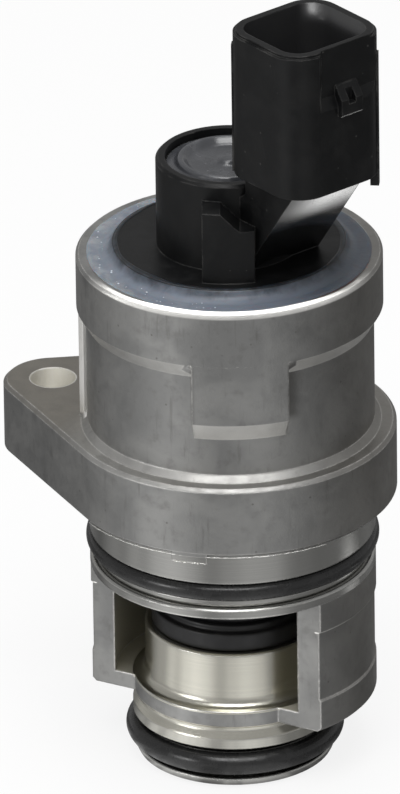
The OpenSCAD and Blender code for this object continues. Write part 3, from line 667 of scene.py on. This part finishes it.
@dataclass(frozen=True)
class WindingFinish:
    """Enamelled copper wire, wound in close turns."""

    turn: float = 0.32

    def build(self) -> bpy.types.Material:
        """Return the material.

        Returns:
            The finished material.
        """
        tree = ShaderTree("enamelled_winding")
        wave = tree.math("SINE", tree.times(tree.z, 2 * math.pi / self.turn))
        clouds = tree.noise(tree.place, 0.8, 3.0, 0.6)
        # Painted shade and highlight: the wire is darker in the grooves between turns and lighter on their crests.
        colour = tree.paint(tree.mix(tree.fit(wave, -1.0, 0.2), (0.12, 0.035, 0.012), (0.5, 0.17, 0.06)),
                            (tree.fit(clouds, 0.4, 0.8, 0.0, 0.4), (0.2, 0.06, 0.02)))
        return tree.surface(Base_Color=colour, Metallic=0.8, Roughness=0.3, Normal=tree.bump(wave, 0.1, None, 0.8))


# ---------------------------------------------------------------- meshes


def point(r: float, angle: float, z: float) -> tuple[float, float, float]:
    """Return the place at that radius, angle and height round the axis, in metres."""
    return r * math.cos(angle) * MM, r * math.sin(angle) * MM, z * MM


def linked(name: str, data: bpy.types.ID) -> bpy.types.Object:
    """Put an object that shows data into the scene, at the origin.

    Args:
        name: Name of the object.
        data: Mesh, camera or light that it shows.

    Returns:
        The new object.
    """
    made = bpy.data.objects.new(name, data)
    bpy.context.scene.collection.objects.link(made)
    return made


def settled(name: str, shaped: bmesh.types.BMesh) -> bpy.types.Mesh:
    """Turn an edit mesh into a mesh called name and free it.

    Args:
        name: Name of the mesh.
        shaped: Edit mesh, not to be used again.

    Returns:
        The mesh.
    """
    mesh = bpy.data.meshes.new(name)
    shaped.to_mesh(mesh)
    shaped.free()
    return mesh


def finished(name: str, mesh: bpy.types.Mesh, material: bpy.types.Material,
             body: Body | None) -> bpy.types.Object:
    """Put a finished mesh into the scene.

    Args:
        name: Name of the piece.
        mesh: Its mesh, in metres in the frame.
        material: Its material.
        body: Body that it rides on, or None for a piece that stretches between two.

    Returns:
        The new object, at the origin.
    """
    piece = linked(name, mesh)
    mesh.materials.clear()
    mesh.materials.append(material)
    if body is not None:
        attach(piece, body.value)
    log.info("%s: %d faces", name, len(mesh.polygons))
    return piece


def smooth(mesh: bpy.types.Mesh, angle: float = 35.0) -> bpy.types.Mesh:
    """Shade a mesh smooth, apart from edges sharper than angle.

    Args:
        mesh: Mesh, which is changed in place.
        angle: Angle in degrees from which an edge stays sharp.

    Returns:
        The same mesh.
    """
    shaped = bmesh.new()
    shaped.from_mesh(mesh)
    bmesh.ops.remove_doubles(shaped, verts=shaped.verts, dist=1e-7)
    bmesh.ops.recalc_face_normals(shaped, faces=shaped.faces)
    limit = math.radians(angle)
    for face in shaped.faces:
        face.smooth = True
    for edge in shaped.edges:
        if len(edge.link_faces) == 2:
            edge.smooth = edge.calc_face_angle(0.0) < limit
    shaped.to_mesh(mesh)
    shaped.free()
    return mesh


def eased(profile: Sequence[Point], radius: float, steps: int = 4) -> list[Point]:
    """Round the corners of an open profile.

    Args:
        profile: Points as (radius, height).
        radius: Length that each corner gives up on both sides, at most.
        steps: Straight pieces that make each corner.

    Returns:
        The profile with its inner corners rounded.
    """
    made = [profile[0]]
    for before, corner, after in zip(profile, profile[1:], profile[2:]):
        c = Vector(corner)
        to_before, to_after = Vector(before) - c, Vector(after) - c
        give = min(radius, to_before.length * 0.45, to_after.length * 0.45)
        start, end = c + to_before.normalized() * give, c + to_after.normalized() * give
        for i in range(steps + 1):
            t = i / steps
            p = start * (1 - t) ** 2 + c * 2 * t * (1 - t) + end * t ** 2
            made.append((p.x, p.y))
    made.append(profile[-1])
    return made


def lathed(name: str, profile: Sequence[Point], steps: int = 180,
           shift: Callable[[float, float, float], Point] | None = None,
           closed: bool = False) -> bpy.types.Mesh:
    """Spin a profile round the axis.

    Args:
        name: Name of the mesh.
        profile: Points as (radius, height); ends at radius 0 are closed to a pole.
        steps: Faces round the axis.
        shift: Optional change of (radius, height) at (angle, radius, height).
        closed: Whether the last point joins the first.

    Returns:
        The mesh, in metres.
    """
    shaped = bmesh.new()
    rings = []
    for r, z in profile:
        ring = []
        for i in range(1 if r < 1e-6 else steps):
            angle = 2 * math.pi * i / steps
            pr, pz = shift(angle, r, z) if shift else (r, z)
            ring.append(shaped.verts.new(point(pr, angle, pz)))
        rings.append(ring)
    pairs = list(zip(rings, rings[1:]))
    if closed:
        pairs.append((rings[-1], rings[0]))
    for low, high in pairs:
        for i in range(steps):
            j = (i + 1) % steps
            if len(low) == 1 and len(high) == 1:
                break
            if len(low) == 1:
                shaped.faces.new((low[0], high[j], high[i]))
            elif len(high) == 1:
                shaped.faces.new((low[i], low[j], high[0]))
            else:
                shaped.faces.new((low[i], low[j], high[j], high[i]))
    return smooth(settled(name, shaped))


# ---------------------------------------------------------------- geometry node trees


class GrowthTree(NodeTree):
    """Geometry Nodes tree with named inputs, turned into a plain mesh once it is run."""

    def __init__(self, name: str) -> None:
        """Start an empty tree called name.

        Args:
            name: Name of the node group.
        """
        super().__init__(bpy.data.node_groups.new(name, "GeometryNodeTree"))
        self.tree.is_modifier = True
        for way in ("INPUT", "OUTPUT"):
            self.tree.interface.new_socket("Geometry", in_out=way, socket_type="NodeSocketGeometry")
        self.entry = self.node("NodeGroupInput")
        self.values: dict[str, float | int] = {}

    def size(self, name: str, value: float | int) -> Socket:
        """Add a named input with a value and return its socket.

        Args:
            name: Name of the input.
            value: Its value; a whole number makes a whole-number input.

        Returns:
            The socket that gives the value inside the tree.
        """
        kind = "NodeSocketInt" if isinstance(value, int) else "NodeSocketFloat"
        made = self.tree.interface.new_socket(name, in_out="INPUT", socket_type=kind)
        self.values[made.identifier] = value
        return self.entry.outputs[name]

    def polar(self, radius: Value, angle: Value, height: Value) -> Socket:
        """Return the place at that radius, angle and height round the axis."""
        return self.join(self.times(radius, self.math("COSINE", angle)),
                         self.times(radius, self.math("SINE", angle)), height)

    def tube(self, path: bpy.types.Node, sides: int, section: Socket, height: Socket,
             caps: bool = False) -> Socket:
        """Return a tube along a path.

        Args:
            path: Node whose curve the tube follows.
            sides: Faces round its section.
            section: Radius of its section.
            height: How far the tube is lifted.
            caps: Whether its ends are closed.

        Returns:
            The socket that holds the tube.
        """
        outline = self.node("GeometryNodeCurvePrimitiveCircle", {"Resolution": sides, "Radius": section})
        tube = self.node("GeometryNodeCurveToMesh", {"Curve": path.outputs[0], "Fill Caps": caps,
                                                     "Profile Curve": outline.outputs[0]})
        inputs = {"Geometry": tube.outputs[0], "Offset": self.join(z=height)}
        return self.node("GeometryNodeSetPosition", inputs).outputs[0]

    def grow(self, name: str, geometry: Socket, material: bpy.types.Material) -> bpy.types.Mesh:
        """Close the tree, run it once and return what it makes.

        Args:
            name: Name of the mesh.
            geometry: Socket that holds the finished geometry.
            material: Material that the tree sets.

        Returns:
            A plain mesh with nothing live on it.
        """
        real = self.node("GeometryNodeRealizeInstances", {0: geometry})
        dressed = self.node("GeometryNodeSetMaterial", {"Geometry": real.outputs[0], "Material": material})
        self.node("NodeGroupOutput", {0: dressed.outputs[0]})
        holder = linked(name + "_grown", bpy.data.meshes.new(name + "_base"))
        modifier = holder.modifiers.new("growth", "NODES")
        modifier.node_group = self.tree
        for identifier, value in self.values.items():
            modifier[identifier] = value
        graph = bpy.context.evaluated_depsgraph_get()
        mesh = bpy.data.meshes.new_from_object(holder.evaluated_get(graph))
        mesh.name = name
        holder.modifiers.remove(modifier)
        bpy.data.objects.remove(holder)
        return mesh


@dataclass(frozen=True)
class Spread:
    """Small specks strewn over an arc round the axis: ranges in millimetres and degrees."""

    count: int
    radius: Point
    angle: Point
    height: Point
    size: Point
    stretch: Point
    seed: int

    def mesh(self, name: str, material: bpy.types.Material) -> bpy.types.Mesh:
        """Strew the specks by a rule and return them as one mesh.

        Args:
            name: Name of the mesh.
            material: Material of the specks.

        Returns:
            The mesh.
        """
        tree = GrowthTree(name + "_rule")
        radius = self.draw(tree, "Radius", self.radius, MM, 0)
        angle = self.draw(tree, "Angle", self.angle, math.pi / 180, 1)
        height = self.draw(tree, "Height", self.height, MM, 2)
        size = self.draw(tree, "Size", self.size, MM / 2, 3)
        points = tree.node("GeometryNodePoints", {"Count": tree.size("Count", self.count),
                                                  "Position": tree.polar(radius, angle, height)})
        speck = tree.node("GeometryNodeMeshIcoSphere", {"Radius": 1.0, "Subdivisions": 2})
        along = tree.times(size, tree.size("Along the arc", self.stretch[0]))
        upward = tree.times(size, tree.size("Upwards", self.stretch[1]))
        copies = tree.node("GeometryNodeInstanceOnPoints",
                           {"Points": points.outputs[0], "Instance": speck.outputs[0],
                            "Rotation": tree.join(z=angle), "Scale": tree.join(size, along, upward)})
        return smooth(tree.grow(name, copies.outputs[0], material), 60.0)

    def draw(self, tree: GrowthTree, name: str, ends: Point, unit: float, order: int) -> Socket:
        """Return a random number between two named inputs.

        Args:
            tree: Tree that strews the specks.
            name: Name that both inputs start with.
            ends: Lowest and highest number.
            unit: Size of 1 in the tree.
            order: Place among the draws of this spread, for its seed.

        Returns:
            The number, drawn anew for each speck.
        """
        drawn = tree.node("FunctionNodeRandomValue", data_type="FLOAT")
        inputs = {socket.identifier: socket for socket in drawn.inputs}
        for key, label, end in (("Min_001", " from", ends[0]), ("Max_001", " to", ends[1])):
            tree.feed(inputs[key], tree.size(name + label, end * unit))
        inputs["Seed"].default_value = 10 * self.seed + order
        return drawn.outputs[1]


# ---------------------------------------------------------------- sub-assemblies


@dataclass
class Casting:
    """One-piece casting, and the small flash and burrs that its die and tools left."""

    flange_r: float = 22.9
    tab_angle: float = -77.0
    tab_width: float = 5.1
    tab_drop: float = 1.0
    tab_depth: float = 1.1
    tab_root: float = 0.8

    def build(self) -> None:
        """Dress the casting and add its small pieces."""
        metal = CastingFinish().build()
        dress(metal, "body")
        self.tab(metal)
        fresh = ShaderTree("fresh_metal").surface(Base_Color=(0.86, 0.85, 0.82), Metallic=1.0, Roughness=0.4)
        edge, reach = -self.tab_drop, self.flange_r
        flash = {
            "tab_flash": Spread(26, (reach - 0.12, reach), (-83.0, -71.0), (edge - 0.05, edge + 0.08),
                                (0.08, 0.22), (2.2, 0.6), 3),
            "flange_flash": Spread(260, (reach - 0.17, reach - 0.11), (-122.0, -28.0),
                                   (-0.04, 0.05), (0.08, 0.2), (5.0, 0.7), 17),
            "pad_burr": Spread(9, (20.4, 20.75), (-42.5, -40.0), (18.9, 20.4), (0.08, 0.2), (0.7, 2.2), 8),
            "plate_flash": Spread(60, (12.9, 13.15), (-118.0, -52.0), (-28.42, -28.3), (0.08, 0.18), (3.0, 0.7), 21),
            "rim_flash": Spread(30, (21.0, 21.15), (-110.0, -20.0), (35.75, 35.95), (0.05, 0.12), (2.5, 0.7), 11),
        }
        for name, spread in flash.items():
            finished(name, spread.mesh(name, fresh), fresh, Body.HOUSING)

    def tab(self, metal: bpy.types.Material) -> None:
        """Add the small tab that the die left under the flange's edge.

        Args:
            metal: The casting's material.
        """
        shaped = bmesh.new()
        half = math.degrees(self.tab_width / 2 / self.flange_r)
        angles = [math.radians(self.tab_angle - half + 2 * half * i / 8) for i in range(9)]
        outer, inner = self.flange_r - 0.05, self.flange_r - self.tab_depth
        section = ((outer, self.tab_root), (outer, -self.tab_drop), (inner, -self.tab_drop), (inner, self.tab_root))
        rows = [[shaped.verts.new(point(r, angle, z)) for r, z in section] for angle in angles]
        for first, second in zip(rows, rows[1:]):
            for i in range(4):
                j = (i + 1) % 4
                shaped.faces.new((first[i], first[j], second[j], second[i]))
        shaped.faces.new(rows[0][::-1])
        shaped.faces.new(rows[-1])
        mesh = settled("cast_tab", shaped)
        finished("cast_tab", smooth(mesh), metal, Body.HOUSING)


@dataclass
class Seals:
    """The two O-rings in their grooves and the sealant round the cover."""

    spigot_r: float = 19.85
    ring_d: float = 2.6
    ring_proud: float = 0.5
    groove_r: float = 17.4
    step_r: float = 19.0
    step_top: float = -8.4
    nozzle_r: float = 14.2
    nozzle_ring_d: float = 3.2
    nozzle_ring_proud: float = 1.0

    def build(self) -> None:
        """Make the rings and the sealant."""
        rubber = RubberFinish().build()
        self.ring("upper_ring", "upper_o_ring", "o_ring_rubber", rubber, self.spigot_r + self.ring_proud,
                  self.ring_d, LEVEL.groove_high - self.ring_d / 2 - 0.05)
        self.ring("lower_ring", "lower_o_ring", "lower_ring_rubber", rubber, self.nozzle_r + self.nozzle_ring_proud,
                  self.nozzle_ring_d, (LEVEL.nozzle_groove_high + LEVEL.nozzle_groove_low) / 2)
        self.groove_step()
        self.sealant()

    def groove_step(self) -> None:
        """Turn the low shoulder that carries the upper ring inside its groove."""
        low = LEVEL.groove_low + 0.02
        profile = eased([(self.groove_r, low), (self.step_r, low), (self.step_r, self.step_top),
                         (self.groove_r, self.step_top)], 0.25, 4)
        metal = bpy.data.materials["cast_aluminium"]
        finished("groove_step", lathed("groove_step", profile, 180, closed=True), metal, Body.HOUSING)

    def ring(self, name: str, node: str, slot: str, rubber: bpy.types.Material, reach: float,
             section: float, height: float) -> None:
        """Make one O-ring that stands out to reach.

        Args:
            name: Name of the piece.
            node: CAD node that it replaces.
            slot: Not used.
            rubber: Its material.
            reach: Outer radius of the ring.
            section: Diameter of its section.
            height: Height of the ring's middle.
        """
        tree = GrowthTree(name + "_tree")
        path = tree.node("GeometryNodeCurvePrimitiveCircle",
                         {"Resolution": 200, "Radius": tree.size("Ring radius", (reach - section / 2) * MM)})
        geometry = tree.tube(path, 40, tree.size("Section radius", section / 2 * MM),
                             tree.size("Height", height * MM))
        mesh = smooth(tree.grow(name, geometry, rubber), 60.0)
        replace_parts(finished(name, mesh, rubber, Body.HOUSING), node)

    def sealant(self) -> None:
        """Make the uneven fillet of sealant between the cover's disc and the rim."""
        waves = [(random.Random(7 + i).uniform(0, 6.28), n, a)
                 for i, (n, a) in enumerate(((2, 0.14), (5, 0.07), (9, 0.05), (17, 0.03)))]

        def uneven(angle: float, r: float, z: float) -> Point:
            """Lift and spread the skin a little, more towards its outer edge."""
            share = max(0.0, min(1.0, (r - 16.3) / 2.5)) if z > 35.0 else 0.0
            lift = sum(a * math.sin(n * angle + p) for p, n, a in waves)
            inward = 1.2 * lift if r < 15.8 else 0.0
            return r + 0.5 * lift * share + inward, z + 0.3 * lift * share

        profile = eased([(16.13, 33.7), (18.1, 33.7), (18.12, 34.9), (19.5, 36.05), (19.72, 36.14),
                         (19.2, 36.24), (17.7, 36.1), (16.7, 36.6), (16.1, 37.6), (15.55, 37.7),
                         (15.3, 37.62), (16.0, 37.5)], 0.4, 4)
        mesh = lathed("sealant_fillet", profile, 240, uneven, closed=True)
        piece = finished("sealant_fillet", mesh, SealantFinish().build(), Body.HOUSING)
        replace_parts(piece, "potting_seal")
        pale = ShaderTree("pale_bubble").surface(Base_Color=(0.62, 0.66, 0.72), Roughness=0.2)
        drops = Spread(46, (16.9, 19.2), (-215.0, -62.0), (36.15, 36.28), (0.08, 0.34), (1.0, 0.45), 5)
        finished("sealant_bubbles", drops.mesh("sealant_bubbles", pale), pale, Body.HOUSING)


@dataclass
class Cover:
    """Moulded cover with its tower and socket, and the dished plug in the tower."""

    socket_angle: float = -22.5
    bracket_slope: float = 54.7

    def build(self) -> None:
        """Dress the cover and make the dished plug."""
        turn, slope = math.radians(self.socket_angle), math.radians(self.bracket_slope)
        under = (math.cos(turn) * math.sin(slope), math.sin(turn) * math.sin(slope), -math.cos(slope))
        dress(PlasticFinish(sheen=under).build(), "connector_cover")
        self.dish()
        dress(TurnedFinish("tinned_brass", Metal.TINNED).build(), "terminal_near", "terminal_far")

    def dish(self) -> None:
        """Make the plug that closes the tower: a raised lip, a shallow dish and a pip."""
        z = LEVEL.tower_recess + 0.02
        profile = [(0.0, z - 4.0), (3.05, z - 4.0), (3.05, z), (8.5, z), (8.5, z + 0.12), (7.3, z + 0.15),
                   (6.9, z + 1.0), (6.3, z + 1.05), (5.3, z + 0.12), (3.4, z + 0.1), (1.5, z + 0.16),
                   (1.1, z + 0.75), (0.4, z + 0.8), (0.0, z + 0.8)]
        mesh = lathed("tower_dish", eased(profile, 0.45, 5), 128)
        shine = PlasticFinish("glossy_plug", (0.05, 0.052, 0.058), (0.11, 0.113, 0.122),
                              (0.3, 0.3, 0.31), 0.2, 0.1, 0.8)
        piece = finished("tower_dish", mesh, shine.build(), Body.HOUSING)
        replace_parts(piece, "tower_plug")


@dataclass
class ValveHead:
    """Bellows, poppet, shaft and armature that move together."""

    bellows_r: float = 11.3
    fold: float = 1.7
    folds: int = 2
    wall: float = 0.7
    hub_r: float = 4.0
    hub_low: float = -18.8
    hub_top: float = -14.4
    bore_r: float = 1.52
    poppet_r: float = 11.45

    def build(self) -> None:
        """Make the visible head and dress the pieces behind it."""
        rubber = RubberFinish("head_rubber", (0.011, 0.011, 0.012), (0.05, 0.05, 0.048), 0.42).build()
        self.bellows(rubber)
        self.poppet(rubber)
        dress(TurnedFinish("ground_steel", Metal.STEEL).build(), "valve_shaft", "retaining_clip",
              "armature")
        dress(TurnedFinish("sintered_bronze", Metal.BRONZE).build(), "shaft_bushing")

    def bellows(self, rubber: bpy.types.Material) -> None:
        """Make the folded bellows by a rule, on no body.

        Args:
            rubber: Its material.
        """
        tree = GrowthTree("bellows_rule")
        top = tree.size("Top", (LEVEL.ceiling - 0.02) * MM)
        bottom = tree.size("Bottom", (LEVEL.bellows_low + 0.02) * MM)
        middle = tree.size("Middle radius", (self.bellows_r - self.fold / 2) * MM)
        depth = tree.size("Fold depth", self.fold / 2 * MM)
        folds = tree.size("Folds", float(self.folds))
        sheet = tree.node("GeometryNodeMeshGrid", {"Size X": 1.0, "Size Y": 1.0,
                                                   "Vertices X": 161, "Vertices Y": 61})
        across, up, _ = tree.split(tree.node("GeometryNodeInputPosition").outputs[0])
        drop = tree.plus(up, 0.5)
        wave = tree.math("COSINE", tree.times(drop, folds, 2 * math.pi))
        r = tree.math("SUBTRACT", middle, tree.times(wave, depth))
        z = tree.plus(bottom, tree.times(drop, tree.math("SUBTRACT", top, bottom)))
        bent = tree.node("GeometryNodeSetPosition",
                         {"Geometry": sheet.outputs[0], "Position": tree.polar(r, tree.times(across, 2 * math.pi), z)})
        joined = tree.node("GeometryNodeMergeByDistance", {"Geometry": bent.outputs[0], "Distance": 1e-6})
        mesh = smooth(tree.grow("bellows_skin", joined.outputs[0], rubber), 80.0)
        piece = finished("bellows_skin", mesh, rubber, None)
        wall = piece.modifiers.new("wall", "SOLIDIFY")
        wall.thickness = self.wall * MM
        wall.offset = -1.0
        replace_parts(piece, "bellows")
        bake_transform(piece)

    def poppet(self, rubber: bpy.types.Material) -> None:
        """Make the poppet with its rounded rubber rim.

        Args:
            rubber: Its material.
        """
        low, rim, top = LEVEL.seat + 0.02, LEVEL.poppet_rim, LEVEL.bellows_low
        hub, neck = self.hub_low + 0.02, self.bellows_r - 0.9
        profile = eased([(self.bore_r, hub), (self.hub_r, hub), (self.hub_r + 0.05, low),
                         (self.poppet_r, low), (self.poppet_r, rim), (neck, rim), (neck, top),
                         (self.hub_r + 1, top), (self.hub_r, self.hub_top), (self.bore_r, self.hub_top)], 0.4, 5)
        mesh = lathed("poppet_head", profile, 160, closed=True)
        piece = finished("poppet_head", mesh, rubber, Body.VALVE)
        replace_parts(piece, "poppet", "poppet_face")


@dataclass
class Solenoid:
    """Coil, iron and spring inside the cup."""

    wire: float = 0.7
    spring_r: float = 2.45
    turns: float = 9.0
    spring_low: float = 15.8
    spring_high: float = 35.0

    def build(self) -> None:
        """Dress the solenoid and wind its spring."""
        dress(TurnedFinish("can_steel", Metal.STEEL).build(), "flux_can", "flux_plate", "pole_core",
              "guide_tube", "adjusting_screw")
        dress(WindingFinish().build(), "coil_winding")
        dress(PlasticFinish("bobbin_plastic", (0.5, 0.46, 0.38), (0.56, 0.52, 0.44),
                            (0.6, 0.56, 0.48), 0.45, 0.15).build(), "coil_bobbin")
        dress(RubberFinish("inner_rubber").build(), "cushion_ring", "guide_o_ring")
        self.spring()

    def spring(self) -> None:
        """Wind the return spring, on no body."""
        steel = TurnedFinish("spring_wire", Metal.SPRING).build()
        tree = GrowthTree("spring_winding")
        low, high = self.spring_low + self.wire / 2, self.spring_high - self.wire / 2
        turns = tree.size("Turns", self.turns)
        radius = tree.size("Coil radius", self.spring_r * MM)
        rise = tree.size("Rise", (high - low) * MM)
        coil = tree.node("GeometryNodeCurveSpiral", {"Resolution": 40, "Rotations": turns,
                                                     "Start Radius": radius, "End Radius": radius,
                                                     "Height": rise})
        wire = tree.tube(coil, 12, tree.size("Wire radius", self.wire / 2 * MM),
                         tree.size("Foot", low * MM), caps=True)
        mesh = smooth(tree.grow("spring_coil", wire, steel), 50.0)
        piece = finished("spring_coil", mesh, steel, None)
        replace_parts(piece, "return_spring")
        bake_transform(piece)


def dress(material: bpy.types.Material, *nodes: str) -> None:
    """Give CAD nodes a material in place of their plain one."""
    for name in nodes:
        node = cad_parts[name]
        for held in node.material_slots:
            held.material = material
        log.info("%s: dressed", name)


# ---------------------------------------------------------------- studio


@dataclass(frozen=True)
class Card:
    """Bright card painted into the floor's reflections: its direction from the valve, and its edges as cosines from
    it.
    """

    x: float
    y: float
    far: float
    near: float
    strength: float


@dataclass
class Studio:
    """Camera, soft lamps, pale floor and white surroundings."""

    azimuth: float = 28.5
    elevation: float = 26.0
    distance: float = 2.5
    roll: float = -0.8
    lens: float = 819.7
    axis_height: float = 13.62
    axis_offset: float = -4.29
    lit_side: float = 0.44
    dim_side: float = 0.16
    left_card: Card = Card(-0.367, -0.931, 0.95, 0.985, 0.3)
    right_card: Card = Card(0.917, -0.399, 0.985, 0.998, 0.1)
    spot: Point = (65.0, 46.0)

    def build(self) -> None:
        """Make the camera, the lamps and the stage."""
        bpy.context.scene.view_settings.view_transform = "Standard"
        self.camera()
        self.floor()
        self.world()
        self.lamp("overhead_softbox", (0.17, -0.33, 0.82), 0.55, 5.0)
        self.lamp("zenith_softbox", (-0.12, 0.16, 0.95), 0.4, 1.6)
        self.lamp("front_left_softbox", (-0.42, -0.86, 0.25), 0.3, 1.6)

    def camera(self) -> None:
        """Aim the camera as the photograph was taken."""
        a, e = math.radians(self.azimuth), math.radians(self.elevation)
        back = Vector((math.sin(a) * math.cos(e), -math.cos(a) * math.cos(e), math.sin(e)))
        right = Vector((math.cos(a), math.sin(a), 0.0))
        target = Vector((0, 0, self.axis_height * MM)) + right * self.axis_offset * MM
        data = bpy.data.cameras.new("camera")
        data.lens = self.lens
        data.clip_end = 20.0
        camera = linked("camera", data)
        turn = (-back).to_track_quat("-Z", "Y").to_matrix() @ Matrix.Rotation(math.radians(self.roll), 3, "Z")
        camera.matrix_world = Matrix.Translation(target + back * self.distance) @ turn.to_4x4()
        bpy.context.scene.camera = camera

    def floor(self) -> None:
        """Lay the pale floor that the valve stands on."""
        shaped = bmesh.new()
        bmesh.ops.create_grid(shaped, x_segments=1, y_segments=1, size=6.0)
        bmesh.ops.translate(shaped, verts=shaped.verts, vec=(0, 0, LEVEL.tip * MM))
        mesh = settled("floor", shaped)
        plane = linked("floor", mesh)
        tree = ShaderTree("pale_floor")
        lit = tree.node("ShaderNodeBsdfDiffuse", {"Color": (0.92, 0.92, 0.92)})
        camera, mirrored = tree.rays()
        white = tree.node("ShaderNodeEmission", {"Strength": tree.blend(mirrored, 1.0, self.pool(tree))})
        share = tree.times(tree.math("MAXIMUM", camera, mirrored), tree.blend(mirrored, 0.85, 1.0))
        mixed = tree.node("ShaderNodeMixShader", {0: share, 1: lit.outputs[0], 2: white.outputs[0]})
        mesh.materials.append(tree.close(mixed))

    def pool(self, tree: ShaderTree) -> Socket:
        """Return how bright the floor mirrors, as painted reflections: brighter in front, with bright cards, a spot
        behind and a painted shadow round the valve's base.

        Args:
            tree: Tree of the floor's material.

        Returns:
            The brightness, where 1 is white.
        """
        flat = tree.join(tree.x, tree.y)
        toward = tree.vector("NORMALIZE", flat)
        facing = tree.vector("DOT_PRODUCT", toward, (-0.03, -1.0, 0.0))
        side = tree.fit(facing, -0.1, 0.75, self.dim_side, self.lit_side)
        near = tree.times(tree.fit(tree.r, 45.0, 80.0, 0.25, 0.0), tree.fit(facing, 0.2, 0.8))
        clutter = tree.fit(tree.noise(toward, 3.4, 2.0, 0.6), 0.4, 0.6, 0.62, 1.32)
        bright = tree.times(tree.plus(side, near), clutter)
        for card in (self.left_card, self.right_card):
            across = tree.vector("DOT_PRODUCT", toward, (card.x, card.y, 0.0))
            bright = tree.plus(bright, tree.fit(across, card.far, card.near, 0.0, card.strength))
        # Painted shadow round the valve's base, seen only in reflections.
        foot = tree.fit(tree.r, 13.5, 16.5, 0.5, 1.0)
        spot = tree.fit(tree.vector("DISTANCE", flat, (*self.spot, 0.0)), 7.0, 13.0, 1.0, 0.0)
        return tree.blend(spot, tree.times(bright, foot), 1.0)

    def world(self) -> None:
        """Surround the stage with soft light that dims above the white backdrop."""
        world = bpy.data.worlds.new("studio")
        bpy.context.scene.world = world
        world.use_nodes = True
        tree = NodeTree(world.node_tree)
        up = tree.split(tree.node("ShaderNodeTexCoord").outputs["Generated"])[2]
        camera, mirrored = tree.rays()
        soft = tree.blend(mirrored, 0.4, tree.fit(up, 0.02, 0.3, 0.48, 0.35))
        sky = tree.node("ShaderNodeBackground", {"Color": (1.0, 1.0, 1.0),
                                                 "Strength": tree.blend(camera, soft, 1.0)})
        tree.node("ShaderNodeOutputWorld", {"Surface": sky.outputs[0]})

    def lamp(self, name: str, place: tuple[float, float, float], size: float, power: float) -> None:
        """Hang a square softbox, in metres, that looks at the valve.

        Args:
            name: Name of the lamp.
            place: Its middle, in metres.
            size: Length of its sides.
            power: Its power, in watts.
        """
        data = bpy.data.lights.new(name, "AREA")
        data.size = size
        data.energy = power
        lamp = linked(name, data)
        aim = Vector((0, 0, 15 * MM)) - Vector(place)
        lamp.matrix_world = Matrix.Translation(place) @ aim.to_track_quat("-Z", "Y").to_matrix().to_4x4()


def main() -> None:
    """Build the studio and every sub-assembly in turn."""
    logging.basicConfig(level=logging.INFO, format="%(name)s %(message)s")
    for part in (Studio(), Casting(), Seals(), Cover(), ValveHead(), Solenoid()):
        log.info("building %s", type(part).__name__)
        part.build()


if __name__ == "__main__":
    main()
